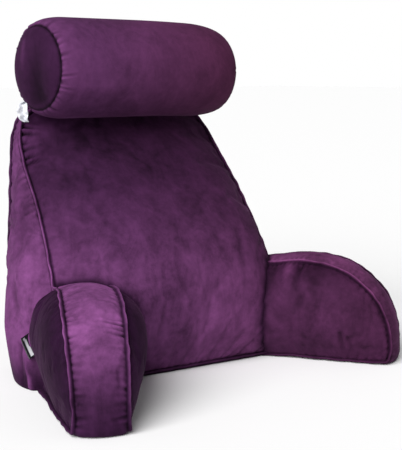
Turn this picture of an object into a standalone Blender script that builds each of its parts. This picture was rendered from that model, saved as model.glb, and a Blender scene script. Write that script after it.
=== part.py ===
"""A backrest pillow: a wedge-shaped back cushion, two arms and a neck roll, all in velvet.

Metres, +Z up. The front faces -Y and +X is to the viewer's right. The origin is the
middle of the back cushion's base, on the surface that the pillow stands on.
"""
import math

import bmesh
import bpy
import numpy as np

# The gap that neighbouring pieces keep
GAP = 0.0003
# the most that a sharp corner of a clearance copy is pushed out, in gaps
SHARPEST = 1.6

# The back cushion. Its two panels share one outline, the rear one a little narrower:
# its share of the width at the foot, and from a certain height up
BACK_HEIGHT = 0.487
BASE_DEPTH = 0.200
REAR_WIDTH_SHARES = (0.912, 0.952)
REAR_FULL_HEIGHT = 0.300
BACK_CENTRE_HEIGHT = 0.235
# how far the boxing swells for each square metre of its width squared
BACK_SWELL = 1.35
# at the foot the swelling lies towards the front: its lean there, and the height where it is even
BACK_SWELL_LEAN = 0.62
BACK_EVEN_HEIGHT = 0.26
# how far the base is turned: its front edge comes forward on the right
BASE_SKEW = 0.13
BACK_STEPS = 96
# height, half width of the front panel
BACK_OUTLINE = (
    (0.006, 0.000),
    (0.006, 0.120),
    (0.006, 0.226),
    (0.014, 0.240),
    (0.045, 0.243),
    (0.100, 0.240),
    (0.180, 0.238),
    (0.290, 0.231),
    (0.375, 0.226),
    (0.432, 0.216),
    (0.465, 0.193),
    (0.482, 0.145),
    (0.487, 0.000),
)
# height, front seam and rear seam behind the base's front edge, crown of each panel
BACK_SECTIONS = (
    (0.000, 0.000, 0.195, 0.050, 0.018),
    (0.090, 0.018, 0.214, 0.072, 0.026),
    (0.190, 0.056, 0.219, 0.086, 0.030),
    (0.310, 0.119, 0.222, 0.056, 0.030),
    (0.400, 0.182, 0.229, 0.036, 0.024),
    (0.487, 0.228, 0.248, 0.020, 0.014),
)

# The arms, in their own frame: along, forward from the root; side, outward; and height
ARM_ROOT = (0.214, 0.016)
ARM_SPLAY = math.radians(29.6)
ARM_CENTRE = (0.090, 0.096)
ARM_BOXING_BULGE = 0.008
ARM_STEPS = 76
ARM_HEIGHT = 0.184
# along, height
ARM_OUTLINE = (
    (-0.100, 0.006),
    (0.080, 0.006),
    (0.250, 0.006),
    (0.258, 0.014),
    (0.258, 0.052),
    (0.248, 0.092),
    (0.228, 0.127),
    (0.196, 0.157),
    (0.158, 0.178),
    (0.095, 0.188),
    (0.035, 0.182),
    (-0.020, 0.172),
    (-0.100, 0.160),
    (-0.115, 0.090),
)
# along, half the boxing's width
ARM_WIDTHS = (
    (-0.115, 0.043),
    (0.000, 0.043),
    (0.140, 0.046),
    (0.260, 0.043),
)
# of the inner and the outer face: crown, how much narrower its half of the boxing is at the
# foot, and how much wider the foot gets towards the root
ARM_CROWNS = (0.036, 0.023)
ARM_FOOT_NARROWINGS = (0.04, 0.12)
ARM_FOOT_SPLAYS = (0.02, 0.14)
# how much flatter a face is at the foot, and up to which height
ARM_FOOT_FLATNESS = 0.6
ARM_FLAT_BELOW = 0.100
# where the outer face is drawn in near the root: from and to which height, and how far forward
ARM_PINCH_HEIGHTS = (0.035, 0.095)
ARM_PINCH_REACH = 0.14
ARM_ROOT_SWELL = 0.5
ARM_LENGTH = 0.258

# The neck roll lies across the back's top edge
ROLL_CENTRE = (-0.003, 0.156, 0.550)
ROLL_RADIUS = 0.090
ROLL_SEAM_RADIUS = 0.074
ROLL_SEAM_HALF = 0.203
# left, right
ROLL_SHOULDERS = (0.050, 0.074)
ROLL_CAP_CROWN = 0.018
# how far its right end hangs
ROLL_DROOP = 0.005
ROLL_STEPS = 44

# The ribbon strap, as seen from before the left corner: its middle, the way to the right,
# and along it: to the right, towards the viewer, and height
STRAP_MIDDLE = (-0.211, 0.200)
STRAP_RIGHTWARD = (0.755, -0.656)
STRAP_WIDTH = 0.020
STRAP_THICKNESS = 0.0016
STRAP_FLUTE = 0.0028
STRAP_FLUTES = 1.25
STRAP_PATH = (
    (0.012, 0.006, 0.502),
    (-0.002, 0.000, 0.490),
    (-0.001, 0.005, 0.480),
    (0.000, 0.004, 0.468),
    (-0.003, 0.001, 0.457),
    (-0.002, -0.014, 0.440),
)

# The tab: the ends of its sewn edge, and the way it stands out
LABEL_TOP = (-0.282, -0.0105, 0.094)
LABEL_FOOT = (-0.277, -0.031, 0.061)
LABEL_OUT = (-0.92, -0.10, -0.38)
LABEL_ROOT = 0.014
LABEL_REACH = 0.015
LABEL_THICKNESS = 0.0014

# How steeply a panel rises from its seam
CROWN_SQUARENESS = 3.6
CROWN_FULLNESS = 0.85
BOXING_FULLNESS = 0.8

# The pinched, top-stitched seam allowance that stands up along each seam
WELT_REACH = 0.0070
WELT_BASE_HALF = 0.0035
WELT_TIP_HALF = 0.0014
WELT_LEVEL_BELOW = 0.015
WELT_LEAST_SLANT = 0.05


def smooth_rows(rows, places):
    """Read a short table's columns at the places asked for, on a smooth curve."""
    table = np.array(rows, float)
    keys, values = table[:, 0], table[:, 1:]
    slopes = np.gradient(values, keys, axis=0)
    places = np.clip(np.asarray(places, float), keys[0], keys[-1])
    left = np.clip(np.searchsorted(keys, places) - 1, 0, len(keys) - 2)
    width = keys[left + 1] - keys[left]
    t = ((places - keys[left]) / width)[..., None]
    width = width[..., None]
    rise = t * t * (3 - 2 * t)
    return (
        values[left] * (1 - rise)
        + values[left + 1] * rise
        + slopes[left] * width * t * (1 - t) ** 2
        - slopes[left + 1] * width * t * t * (1 - t)
    )


def closed_curve(points, steps):
    """Run a smooth closed curve through the points and space its steps evenly."""
    points = np.array(points, float)
    fine = 24
    share = np.arange(fine)[:, None] / fine
    stretches = []
    for i in range(len(points)):
        before, start, end, after = (points[(i + k) % len(points)] for k in (-1, 0, 1, 2))
        span = np.linalg.norm(end - start)
        leave = (end - before) / (np.linalg.norm(start - before) + span) * span
        arrive = (after - start) / (np.linalg.norm(after - end) + span) * span
        rise = share * share * (3 - 2 * share)
        stretches.append(
            start * (1 - rise)
            + end * rise
            + leave * share * (1 - share) ** 2
            - arrive * share * share * (1 - share)
        )
    curve = np.concatenate(stretches)
    loop = np.vstack([curve, curve[:1]])
    run = np.concatenate([[0], np.cumsum(np.linalg.norm(np.diff(loop, axis=0), axis=1))])
    at = np.arange(steps) / steps * run[-1]
    return np.stack([np.interp(at, run, loop[:, k]) for k in range(loop.shape[1])], 1)


def outward(curve):
    """Give each step of a flat closed curve its unit normal, away from the middle."""
    along = np.roll(curve, -1, axis=0) - np.roll(curve, 1, axis=0)
    normal = np.stack([along[:, 1], -along[:, 0]], 1)
    normal /= np.linalg.norm(normal, axis=1, keepdims=True)
    facing = np.sign(np.sum(normal * (curve - curve.mean(axis=0)), axis=1).sum())
    return normal * facing


def unit(vectors):
    """Scale each vector to length one."""
    return vectors / np.linalg.norm(vectors, axis=-1, keepdims=True)


def crown_share(share):
    """How far a panel has swelled, from 0 at its seam to 1 in its middle."""
    return (1 - share ** CROWN_SQUARENESS) ** CROWN_FULLNESS


def welt(seam, face_normal, edge_normal):
    """Four rings over a seam, from the panel's side to the boxing's side.

    The seam allowance stands up at a slant, and lies level where the seam meets the floor.
    """
    slant = np.clip((seam[:, 2:] - WELT_LEVEL_BELOW) / WELT_LEVEL_BELOW, WELT_LEAST_SLANT, 1)
    tip = unit(face_normal + edge_normal * slant)
    across = unit(edge_normal - face_normal * slant)
    return [
        seam - across * WELT_BASE_HALF,
        seam + tip * WELT_REACH - across * WELT_TIP_HALF,
        seam + tip * WELT_REACH + across * WELT_TIP_HALF,
        seam + across * WELT_BASE_HALF,
    ]


def boxing(first, second, edge_normal, bulge, shares, lean=1.0):
    """Rings of the strip between two seams, swelling most near the first where it leans."""
    return [
        first * (1 - s) + second * s + edge_normal * bulge * np.sin(math.pi * s ** lean) ** BOXING_FULLNESS
        for s in shares
    ]


def skin_mesh(name, rings, start, end):
    """One closed mesh over a stack of rings, with a point at each end."""
    rings = np.array(rings)
    count, steps = rings.shape[:2]
    points = np.vstack([rings.reshape(-1, 3), start, end])
    points[:, 2] = np.maximum(points[:, 2], 0)
    first, last = count * steps, count * steps + 1
    faces = []
    for j in range(steps):
        k = (j + 1) % steps
        faces.append((first, k, j))
        faces.append((last, (count - 1) * steps + j, (count - 1) * steps + k))
        for i in range(count - 1):
            near, far = i * steps, (i + 1) * steps
            faces.append((near + j, near + k, far + k))
            faces.append((near + j, far + k, far + j))
    mesh = bpy.data.meshes.new(name)
    mesh.from_pydata(points.tolist(), [], faces)
    mesh.validate()
    mesh.update()
    return mesh


def sheet_mesh(name, grid):
    """The middle layer of a thin sheet, over a grid of points."""
    rows, columns = grid.shape[:2]
    faces = []
    for i in range(rows - 1):
        for j in range(columns - 1):
            near, far = i * columns + j, (i + 1) * columns + j
            faces.append((near, near + 1, far + 1))
            faces.append((near, far + 1, far))
    mesh = bpy.data.meshes.new(name)
    mesh.from_pydata(grid.reshape(-1, 3).tolist(), [], faces)
    mesh.update()
    return mesh


def velvet(name, colour, roughness=0.85):
    """A soft cloth finish."""
    material = bpy.data.materials.new(name)
    material.use_nodes = True
    shader = material.node_tree.nodes["Principled BSDF"]
    shader.inputs["Base Color"].default_value = (*colour, 1)
    shader.inputs["Roughness"].default_value = roughness
    shader.inputs["Metallic"].default_value = 0.0
    return material


def turn_outward(mesh):
    """Flip a mesh whose faces point in."""
    volume = 0.0
    mesh.calc_loop_triangles()
    for triangle in mesh.loop_triangles:
        a, b, c = (mesh.vertices[i].co for i in triangle.vertices)
        volume += a.dot(b.cross(c))
    if volume < 0:
        mesh.flip_normals()


def add_object(name, mesh, material):
    """Put a mesh in the scene, smooth shaded, with its own material."""
    turn_outward(mesh)
    piece = bpy.data.objects.new(name, mesh)
    bpy.context.collection.objects.link(piece)
    mesh.materials.append(material)
    mesh.shade_smooth()
    return piece


def back_place(across, height, depth_column):
    """A point on the front (1) or rear (2) panel's seam surface, and its crown there."""
    row = smooth_rows(BACK_SECTIONS, height)
    skew = BASE_SKEW * across * (1 - height / BACK_HEIGHT)
    depth = row[..., depth_column - 1] - BASE_DEPTH / 2 - skew
    return np.stack([across, depth, height], -1), row[..., depth_column + 1]


def back_lean(height):
    """The front panel's unit normal at a height: forward, and up where it leans back."""
    step = 0.01
    below = smooth_rows(BACK_SECTIONS, height - step)[..., 0]
    above = smooth_rows(BACK_SECTIONS, height + step)[..., 0]
    slope = (above - below) / (2 * step)
    return unit(np.stack([np.zeros_like(slope), -np.ones_like(slope), slope], -1))


def back_rings(steps, front_shares, rear_shares, boxing_shares):
    """Every ring of the back cushion, from the front panel's middle to the rear's."""
    right = [(width, height) for height, width in BACK_OUTLINE]
    left = [(-width, height) for width, height in reversed(right[1:-1])]
    outline = closed_curve(right + left, steps)
    edge = outward(outline)
    edge = np.stack([edge[:, 0], np.zeros(steps), edge[:, 1]], 1)
    middle = np.array([0.0, BACK_CENTRE_HEIGHT])

    def front(share):
        flat = middle + (outline - middle) * share
        seam, crown = back_place(flat[:, 0], flat[:, 1], 1)
        return seam + back_lean(flat[:, 1]) * (crown * crown_share(share))[:, None]

    def rear(share):
        flat = middle + (outline - middle) * share
        flat[:, 0] *= np.interp(flat[:, 1], (0, REAR_FULL_HEIGHT), REAR_WIDTH_SHARES)
        seam, crown = back_place(flat[:, 0], flat[:, 1], 2)
        return seam + np.array([0, 1, 0]) * (crown * crown_share(share))[:, None]

    front_seam = front(1.0)
    rear_seam = rear(1.0)
    rings = [front(s) for s in front_shares]
    front_welt = welt(front_seam, back_lean(outline[:, 1]), edge)
    rear_welt = welt(rear_seam, np.array([[0.0, 1.0, 0.0]]), edge)
    bulge = BACK_SWELL * np.sum((rear_seam - front_seam) ** 2, axis=1, keepdims=True)
    rings += front_welt
    lean = np.interp(front_seam[:, 2:], (0, BACK_EVEN_HEIGHT), (BACK_SWELL_LEAN, 1))
    rings += boxing(front_welt[-1], rear_welt[-1], edge, bulge, boxing_shares, lean)
    rings += reversed(rear_welt)
    rings += [rear(s) for s in reversed(rear_shares)]
    return rings, front(0.0).mean(axis=0), rear(0.0).mean(axis=0)


def arm_rings(steps, face_shares, boxing_shares, mirror):
    """Every ring of an arm, from its inner face's middle to its outer face's."""
    outline = closed_curve(ARM_OUTLINE, steps)
    edge_flat = outward(outline)
    middle = np.array(ARM_CENTRE)
    forward = np.array([math.sin(ARM_SPLAY), -math.cos(ARM_SPLAY), 0.0])
    aside = np.array([math.cos(ARM_SPLAY), math.sin(ARM_SPLAY), 0.0])
    up = np.array([0.0, 0.0, 1.0])
    root = np.array([ARM_ROOT[0], ARM_ROOT[1] - BASE_DEPTH / 2, 0.0])
    edge = edge_flat[:, :1] * forward + edge_flat[:, 1:] * up

    def face(share, side):
        flat = middle + (outline - middle) * share
        along, height = flat[:, 0], flat[:, 1]
        low = 1 - height / ARM_HEIGHT
        half = smooth_rows(ARM_WIDTHS, along)[:, 0] * (1 - ARM_FOOT_NARROWINGS[side] * low)
        half += ARM_FOOT_SPLAYS[side] * (ARM_LENGTH - along) * low
        swell = 1 + ARM_ROOT_SWELL * (1 - along / ARM_LENGTH)
        swell *= 1 - ARM_FOOT_FLATNESS * np.clip(1 - height / ARM_FLAT_BELOW, 0, 1)
        if side:
            low_end, high_end = ARM_PINCH_HEIGHTS
            rise = np.clip((height - low_end) / (high_end - low_end), 0, 1)
            near = np.clip(1 - along / ARM_PINCH_REACH, 0, 1)
            swell *= 1 - near * (1 - rise * rise * (3 - 2 * rise))
        reach = half + ARM_CROWNS[side] * swell * crown_share(share)
        reach *= 1 if side else -1
        return root + flat[:, :1] * forward + reach[:, None] * aside + flat[:, 1:] * up

    inner_seam = face(1.0, 0)
    outer_seam = face(1.0, 1)
    rings = [face(s, 0) for s in face_shares]
    inner_welt = welt(inner_seam, -aside[None], edge)
    outer_welt = welt(outer_seam, aside[None], edge)
    rings += inner_welt
    rings += boxing(inner_welt[-1], outer_welt[-1], edge, ARM_BOXING_BULGE, boxing_shares)
    rings += reversed(outer_welt)
    rings += [face(s, 1) for s in reversed(face_shares)]
    rings = np.array(rings)
    start = face(0.0, 0).mean(axis=0)
    end = face(0.0, 1).mean(axis=0)
    if mirror:
        flip = np.array([-1.0, 1.0, 1.0])
        rings, start, end = rings * flip, start * flip, end * flip
    return rings, start, end


def roll_rings(steps, cap_shares, tube_shares):
    """Every ring of the neck roll, from one cap's middle to the other's."""
    turn = np.arange(steps) / steps * 2 * math.pi
    round_about = np.stack([np.zeros(steps), np.cos(turn), np.sin(turn)], 1)
    centre = np.array([ROLL_CENTRE[0], ROLL_CENTRE[1] - BASE_DEPTH / 2, ROLL_CENTRE[2]])
    sideways = np.array([[1.0, 0.0, 0.0]])

    def droop(place):
        low = min(max(place / ROLL_SEAM_HALF, 0), 1) ** 2 * ROLL_DROOP
        return centre - np.array([0, 0, low])

    def cap(share, side):
        reach = side * (ROLL_SEAM_HALF + ROLL_CAP_CROWN * crown_share(share))
        return droop(reach) + sideways * reach + round_about * ROLL_SEAM_RADIUS * share

    def tube(place):
        shoulder = ROLL_SHOULDERS[0] if place < 0 else ROLL_SHOULDERS[1]
        inward = min((ROLL_SEAM_HALF - abs(place)) / shoulder, 1)
        swell = math.sqrt(inward * (2 - inward))
        radius = ROLL_SEAM_RADIUS + (ROLL_RADIUS - ROLL_SEAM_RADIUS) * swell
        return droop(place) + sideways * place + round_about * radius

    rings = [cap(s, -1) for s in cap_shares]
    rings.append(cap(1.0, -1))
    rings += [tube(ROLL_SEAM_HALF * s) for s in tube_shares]
    rings.append(cap(1.0, 1))
    rings += [cap(s, 1) for s in reversed(cap_shares)]
    return rings, cap(0.0, -1).mean(axis=0), cap(0.0, 1).mean(axis=0)


def clearance_copy(piece, gap):
    """A hidden copy of a cushion, grown by the gap, that its neighbours are cut with."""
    graph = bpy.context.evaluated_depsgraph_get()
    mesh = bpy.data.meshes.new_from_object(piece.evaluated_get(graph))
    mesh.name = piece.name + "_clearance"
    skin = bmesh.new()
    skin.from_mesh(mesh)
    moves = [vertex.normal * gap * min(vertex.calc_shell_factor(), SHARPEST) for vertex in skin.verts]
    for vertex, move in zip(skin.verts, moves):
        vertex.co += move
    skin.to_mesh(mesh)
    skin.free()
    cutter = bpy.data.objects.new(mesh.name, mesh)
    bpy.context.collection.objects.link(cutter)
    cutter.hide_render = True
    cutter.display_type = "WIRE"
    return cutter


def cut_with(piece, cutter):
    """Cut a piece back to where it lies against its neighbour."""
    cut = piece.modifiers.new("Seat on " + cutter.name, "BOOLEAN")
    cut.operation = "DIFFERENCE"
    cut.solver = "EXACT"
    cut.object = cutter


def build_back():
    """The back cushion."""
    front_shares = (0.15, 0.32, 0.48, 0.63, 0.76, 0.86, 0.93, 0.965)
    rear_shares = (0.2, 0.42, 0.62, 0.8, 0.93)
    boxing_shares = (0.12, 0.32, 0.5, 0.68, 0.88)
    rings, start, end = back_rings(BACK_STEPS, front_shares, rear_shares, boxing_shares)
    mesh = skin_mesh("back_cushion", rings, start, end)
    return add_object("back_cushion", mesh, velvet("back_velvet", (0.080, 0.018, 0.075)))


def build_arm(name, mirror, cutter):
    """One arm, its root cut to lie against the back cushion."""
    face_shares = (0.2, 0.42, 0.62, 0.78, 0.89, 0.95)
    boxing_shares = (0.16, 0.38, 0.62, 0.84)
    rings, start, end = arm_rings(ARM_STEPS, face_shares, boxing_shares, mirror)
    mesh = skin_mesh(name, rings, start, end)
    arm = add_object(name, mesh, velvet(name + "_velvet", (0.095, 0.022, 0.090)))
    cut_with(arm, cutter)
    return arm


def build_roll(cutter):
    """The neck roll, its underside seated on the back's top edge."""
    cap_shares = (0.3, 0.58, 0.8, 0.94)
    tube_shares = (-0.965, -0.91, -0.84, -0.76, -0.6, -0.3, 0.0, 0.3, 0.6, 0.76, 0.84, 0.91, 0.965)
    rings, start, end = roll_rings(ROLL_STEPS, cap_shares, tube_shares)
    mesh = skin_mesh("neck_roll", rings, start, end)
    roll = add_object("neck_roll", mesh, velvet("roll_velvet", (0.100, 0.024, 0.090)))
    cut_with(roll, cutter)
    return roll


def build_strap(cutters):
    """The fluted ribbon between the roll's end and the back's top corner."""
    numbered = np.column_stack([np.arange(len(STRAP_PATH)), np.array(STRAP_PATH)])
    line = smooth_rows(numbered, np.linspace(0, len(STRAP_PATH) - 1, 13))
    rightward = np.array([*STRAP_RIGHTWARD, 0.0])
    proud = np.array([STRAP_RIGHTWARD[1], -STRAP_RIGHTWARD[0], 0.0])
    middle = np.array([STRAP_MIDDLE[0], STRAP_MIDDLE[1] - BASE_DEPTH / 2, 0.0])
    columns = []
    for share in np.linspace(0, 1, 11):
        flute = STRAP_FLUTE * math.sin(2 * math.pi * STRAP_FLUTES * share + 0.5)
        across = line[:, :1] + (share - 0.5) * STRAP_WIDTH
        columns.append(middle + rightward * across + proud * (line[:, 1:2] + flute) + line[:, 2:] * [0, 0, 1])
    mesh = sheet_mesh("roll_strap", np.stack(columns, 1))
    strap = add_object("roll_strap", mesh, velvet("strap_ribbon", (0.82, 0.82, 0.84), 0.55))
    body = strap.modifiers.new("Thickness", "SOLIDIFY")
    body.thickness, body.offset = STRAP_THICKNESS, 0
    for cutter in cutters:
        cut_with(strap, cutter)


def build_label(cutters):
    """The bare woven tab sewn into the joint behind the left arm."""
    top, foot = np.array(LABEL_TOP), np.array(LABEL_FOOT)
    out = unit(np.array(LABEL_OUT))
    face = unit(np.cross(foot - top, out)) * LABEL_THICKNESS / 2
    rings = []
    for end in (top, foot):
        inner, outer = end - out * LABEL_ROOT, end + out * LABEL_REACH
        rings.append([inner - face, outer - face, outer + face, inner + face])
    rings = np.array(rings)
    mesh = skin_mesh("side_label", rings, rings[0].mean(axis=0), rings[1].mean(axis=0))
    label = add_object("side_label", mesh, velvet("label_weave", (0.012, 0.012, 0.014), 0.6))
    for cutter in cutters:
        cut_with(label, cutter)


def main():
    """Clear the scene and build every piece."""
    for piece in list(bpy.data.objects):
        bpy.data.objects.remove(piece, do_unlink=True)
    back = build_back()
    cutter = clearance_copy(back, GAP)
    build_arm("arm_right", False, cutter)
    left = build_arm("arm_left", True, cutter)
    roll = build_roll(cutter)
    build_strap((cutter, clearance_copy(roll, GAP)))
    build_label((cutter, clearance_copy(left, GAP)))


main()
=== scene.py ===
"""The looks of a velvet backrest pillow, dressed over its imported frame.

Each cushion is sewn from two panels and a boxing strip. The panels are grids of points,
so the cloth can be filled and puckered by a simulation, and the pinched seams are sewn
on to it afterwards. Metres, +Z up, the front faces -Y.
"""
import math

import bpy
import numpy as np
from bpy.props import FloatProperty, FloatVectorProperty, IntProperty, PointerProperty
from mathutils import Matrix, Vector
from mathutils.bvhtree import BVHTree
from mathutils.kdtree import KDTree


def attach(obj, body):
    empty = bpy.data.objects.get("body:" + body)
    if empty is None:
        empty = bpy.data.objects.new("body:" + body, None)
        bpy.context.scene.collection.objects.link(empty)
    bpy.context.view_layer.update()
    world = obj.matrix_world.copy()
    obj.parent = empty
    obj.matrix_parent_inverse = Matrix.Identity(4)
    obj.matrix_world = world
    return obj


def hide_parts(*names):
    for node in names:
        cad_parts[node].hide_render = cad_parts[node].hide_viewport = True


bl_info = {
    "name": "Backrest pillow",
    "version": (1, 0, 0),
    "blender": (4, 5, 0),
    "location": "3D View > Sidebar > Pillow",
    "description": "Builds a velvet backrest pillow with two arms and a neck roll",
    "category": "Object",
}

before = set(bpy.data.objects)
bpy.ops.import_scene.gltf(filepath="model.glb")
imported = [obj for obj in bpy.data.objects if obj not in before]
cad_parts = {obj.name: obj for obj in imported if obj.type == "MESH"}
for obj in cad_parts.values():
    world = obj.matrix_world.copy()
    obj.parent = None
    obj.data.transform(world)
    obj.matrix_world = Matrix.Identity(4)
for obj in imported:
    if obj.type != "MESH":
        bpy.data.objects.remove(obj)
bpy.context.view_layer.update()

# The back cushion: its height, its base's depth, the rear panel's share of the front one's
# width at the foot and above a height, the outline's middle, how the boxing swells, how far
# its swelling leans forward at the foot and up to what height, and the base's skew
BACK_HEIGHT = 0.487
BASE_DEPTH = 0.200
REAR_WIDTH_SHARES = (0.912, 0.952)
REAR_FULL_HEIGHT = 0.300
BACK_MIDDLE = (0.0, 0.235)
BACK_SWELL = 1.35
BACK_SWELL_LEAN = 0.62
BACK_EVEN_HEIGHT = 0.26
BASE_SKEW = 0.13
# the outline that both panels share: height, half width of the front panel
BACK_OUTLINE = (
    (0.006, 0.000),
    (0.006, 0.120),
    (0.006, 0.226),
    (0.014, 0.240),
    (0.045, 0.243),
    (0.100, 0.240),
    (0.180, 0.238),
    (0.290, 0.231),
    (0.375, 0.226),
    (0.432, 0.216),
    (0.465, 0.193),
    (0.482, 0.145),
    (0.487, 0.000),
)
# where the grid of a panel has its corners: across, height
BACK_CORNERS = ((-0.236, 0.009), (0.236, 0.009), (0.206, 0.450), (-0.206, 0.450))
# height, front seam and rear seam behind the base's front edge, crown of each panel
BACK_SECTIONS = (
    (0.000, 0.000, 0.195, 0.050, 0.018),
    (0.090, 0.018, 0.214, 0.072, 0.026),
    (0.190, 0.056, 0.219, 0.086, 0.030),
    (0.310, 0.119, 0.222, 0.056, 0.030),
    (0.400, 0.182, 0.229, 0.036, 0.024),
    (0.487, 0.228, 0.248, 0.020, 0.014),
)

# The arms, in their own frame: along, forward from the root; aside, outward; and height.
# The outline and the corners are along and height
ARM_ROOT = (0.214, 0.016)
ARM_SPLAY = math.radians(29.6)
ARM_MIDDLE = (0.090, 0.096)
ARM_BOXING_BULGE = 0.008
ARM_FOOT_NARROWINGS = (0.04, 0.12)
ARM_HEIGHT = 0.184
ARM_OUTLINE = (
    (-0.100, 0.006),
    (0.080, 0.006),
    (0.250, 0.006),
    (0.258, 0.014),
    (0.258, 0.052),
    (0.248, 0.092),
    (0.228, 0.127),
    (0.196, 0.157),
    (0.158, 0.178),
    (0.095, 0.188),
    (0.035, 0.182),
    (-0.020, 0.172),
    (-0.100, 0.160),
    (-0.115, 0.090),
)
ARM_CORNERS = ((-0.103, 0.008), (0.256, 0.010), (0.222, 0.143), (-0.103, 0.158))
# along, half the boxing's width
ARM_WIDTHS = ((-0.115, 0.043), (0.000, 0.043), (0.140, 0.046), (0.260, 0.043))
# of the inner and the outer face: crown, and how much wider the foot gets towards the root
ARM_CROWNS = (0.036, 0.023)
ARM_FOOT_SPLAYS = (0.02, 0.14)
ARM_FOOT_FLATNESS = 0.6
ARM_FLAT_BELOW = 0.100
ARM_PINCH_HEIGHTS = (0.035, 0.095)
ARM_PINCH_REACH = 0.14
ARM_ROOT_SWELL = 0.5
ARM_LENGTH = 0.258
# of the spare cloth in the back's cover, the share that an arm's has
ARM_SPARE_CLOTH = 0.4

# The neck roll lies across the back's top edge
ROLL_CENTRE = (-0.003, 0.156, 0.550)
ROLL_RADIUS = 0.090
ROLL_SEAM_RADIUS = 0.074
ROLL_SEAM_HALF = 0.203
ROLL_SHOULDERS = (0.050, 0.074)
ROLL_CAP_CROWN = 0.018
ROLL_DROOP = 0.005

# The ribbon strap, as seen from before the left corner: its middle, the way to the right,
# and along it: to the right, towards the viewer, and height
STRAP_MIDDLE = (-0.211, 0.200)
STRAP_RIGHTWARD = (0.755, -0.656)
STRAP_WIDTH = 0.020
STRAP_FLUTE = 0.0028
STRAP_FLUTES = 1.25
STRAP_PATH = (
    (0.012, 0.006, 0.502),
    (-0.002, 0.000, 0.490),
    (-0.001, 0.005, 0.480),
    (0.000, 0.004, 0.468),
    (-0.003, 0.001, 0.457),
    (-0.002, -0.014, 0.440),
)
# the stretch of it that shows, counted in steps of its path, and the length it is cut to
STRAP_SHOWN = (0.90, 4.20)
# how narrow it is drawn at its ends, and how far they turn to the right
STRAP_DRAWN = 0.45
STRAP_TUCK = 0.009
STRAP_THICKNESS = 0.0008
# of each row of its creases: waves along it, waves across it, start and size; and their depth
STRAP_CREASES = ((2.6, 1.1, 0.0, 1.0), (4.3, -1.7, 0.3, 0.6))
STRAP_CRUMPLE = 0.0010
STRAP_ALONG, STRAP_ACROSS = 91, 41

# The tab: the ends of its sewn edge, and the way it stands out
LABEL_TOP = (-0.282, -0.0105, 0.094)
LABEL_FOOT = (-0.277, -0.031, 0.061)
LABEL_OUT = (-0.92, -0.10, -0.38)
LABEL_ROOT = 0.008
LABEL_REACH = 0.015
# half the way between its layers, its thickness, bow and curl, its cut size, and its steps
TAB_GAP = 0.0007
TAB_THICKNESS = 0.0005
TAB_BOW = 0.0020
TAB_CURL = 0.0025
TAB_ALONG, TAB_ROUND = 41, 61
# where the tab's pale strip starts and ends, along it and, at its top, out from the joint, how
# far both ends of the second have moved at its foot, and how pale it is at its top
STRIP_ALONG = (0.06, 0.94)
STRIP_OUT = (0.46, 0.74)
STRIP_TURNS = (0.30, 0.06)
STRIP_TOP = 0.35

# How square and how full a panel's crown is, and how full the boxing is
CROWN_SQUARENESS = 3.6
CROWN_FULLNESS = 0.85
BOXING_FULLNESS = 0.8

# The pinched seam allowance: below what height it turns level, and how slanted it stays; half
# of its section, as shares of the half width of its base and its top, and of its reach; the
# waves of its lean and of its rise, and their share of the unevenness; how far the panels
# stay inside the seam
WELT_LEVEL_BELOW = 0.015
WELT_LEAST_SLANT = 0.05
WELT_PROFILE = ((0.80, 0.0, 0.30), (0.0, 1.15, 0.78), (0.0, 0.55, 1.00))
WELT_LEAN = (0.030, 0.6)
WELT_RISE = (0.022, 0.5)
WELT_INSET = 0.36

# What is left between a seated piece and the one it lies against: cushions, and thin trim
CUSHION_GAP = 0.0005
TRIM_GAP = 0.0004

# The covers' cloth, as the simulation takes it
COVER_CLOTH = {
    "quality": 6,
    "mass": 0.25,
    "tension_stiffness": 30,
    "compression_stiffness": 30,
    "shear_stiffness": 12,
    "air_damping": 2,
    "use_pressure": True,
}

# How far from a seam its folds reach, where soft troughs start, the painted shade on the rows of points at a
# seam, and how much painted shade a soft trough gets for its depth
FOLD_REACH = 0.07
FREE_OF_SEAM = 0.012
SEAM_SHADE = 0.30
SOFT_SHADE = 0.40
# The groove beside a pinched and beside a plain seam: its width, and how uneven it is; the length of its
# waves, its least and most, its depth and the painted shade it gets
WELT_GROOVE = (0.0045, 0.5)
PLAIN_GROOVE = (0.0028, 0.15)
GROOVE_WAVE = 0.012
GROOVE_RANGE = (0.2, 2.0)
GROOVE_DEPTH = 0.0010
GROOVE_SHADE = 0.0036
# How much painted highlight a ridge gets on its pile, for each metre of its height
RIDGE_PAINTED_HIGHLIGHT = 130.0
# Beside a joint with another piece, a painted shadow in the pile: how far it reaches, and its level
BACK_ARM_PAINTED_SHADOW = (0.010, 0.02)
ARM_JOINT_PAINTED_SHADOW = (0.0050, 0.02)

# Points in a dense outline, steps along each panel's two directions, rows of boxing,
# and how many times finer the sewn cloth is than the simulated one
DENSE = 4000
BACK_STEPS = (80, 74, 30, 2)
ARM_STEPS = (62, 30, 16, 3)
ROLL_STEPS = (24, 24, 70, 3)

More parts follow.
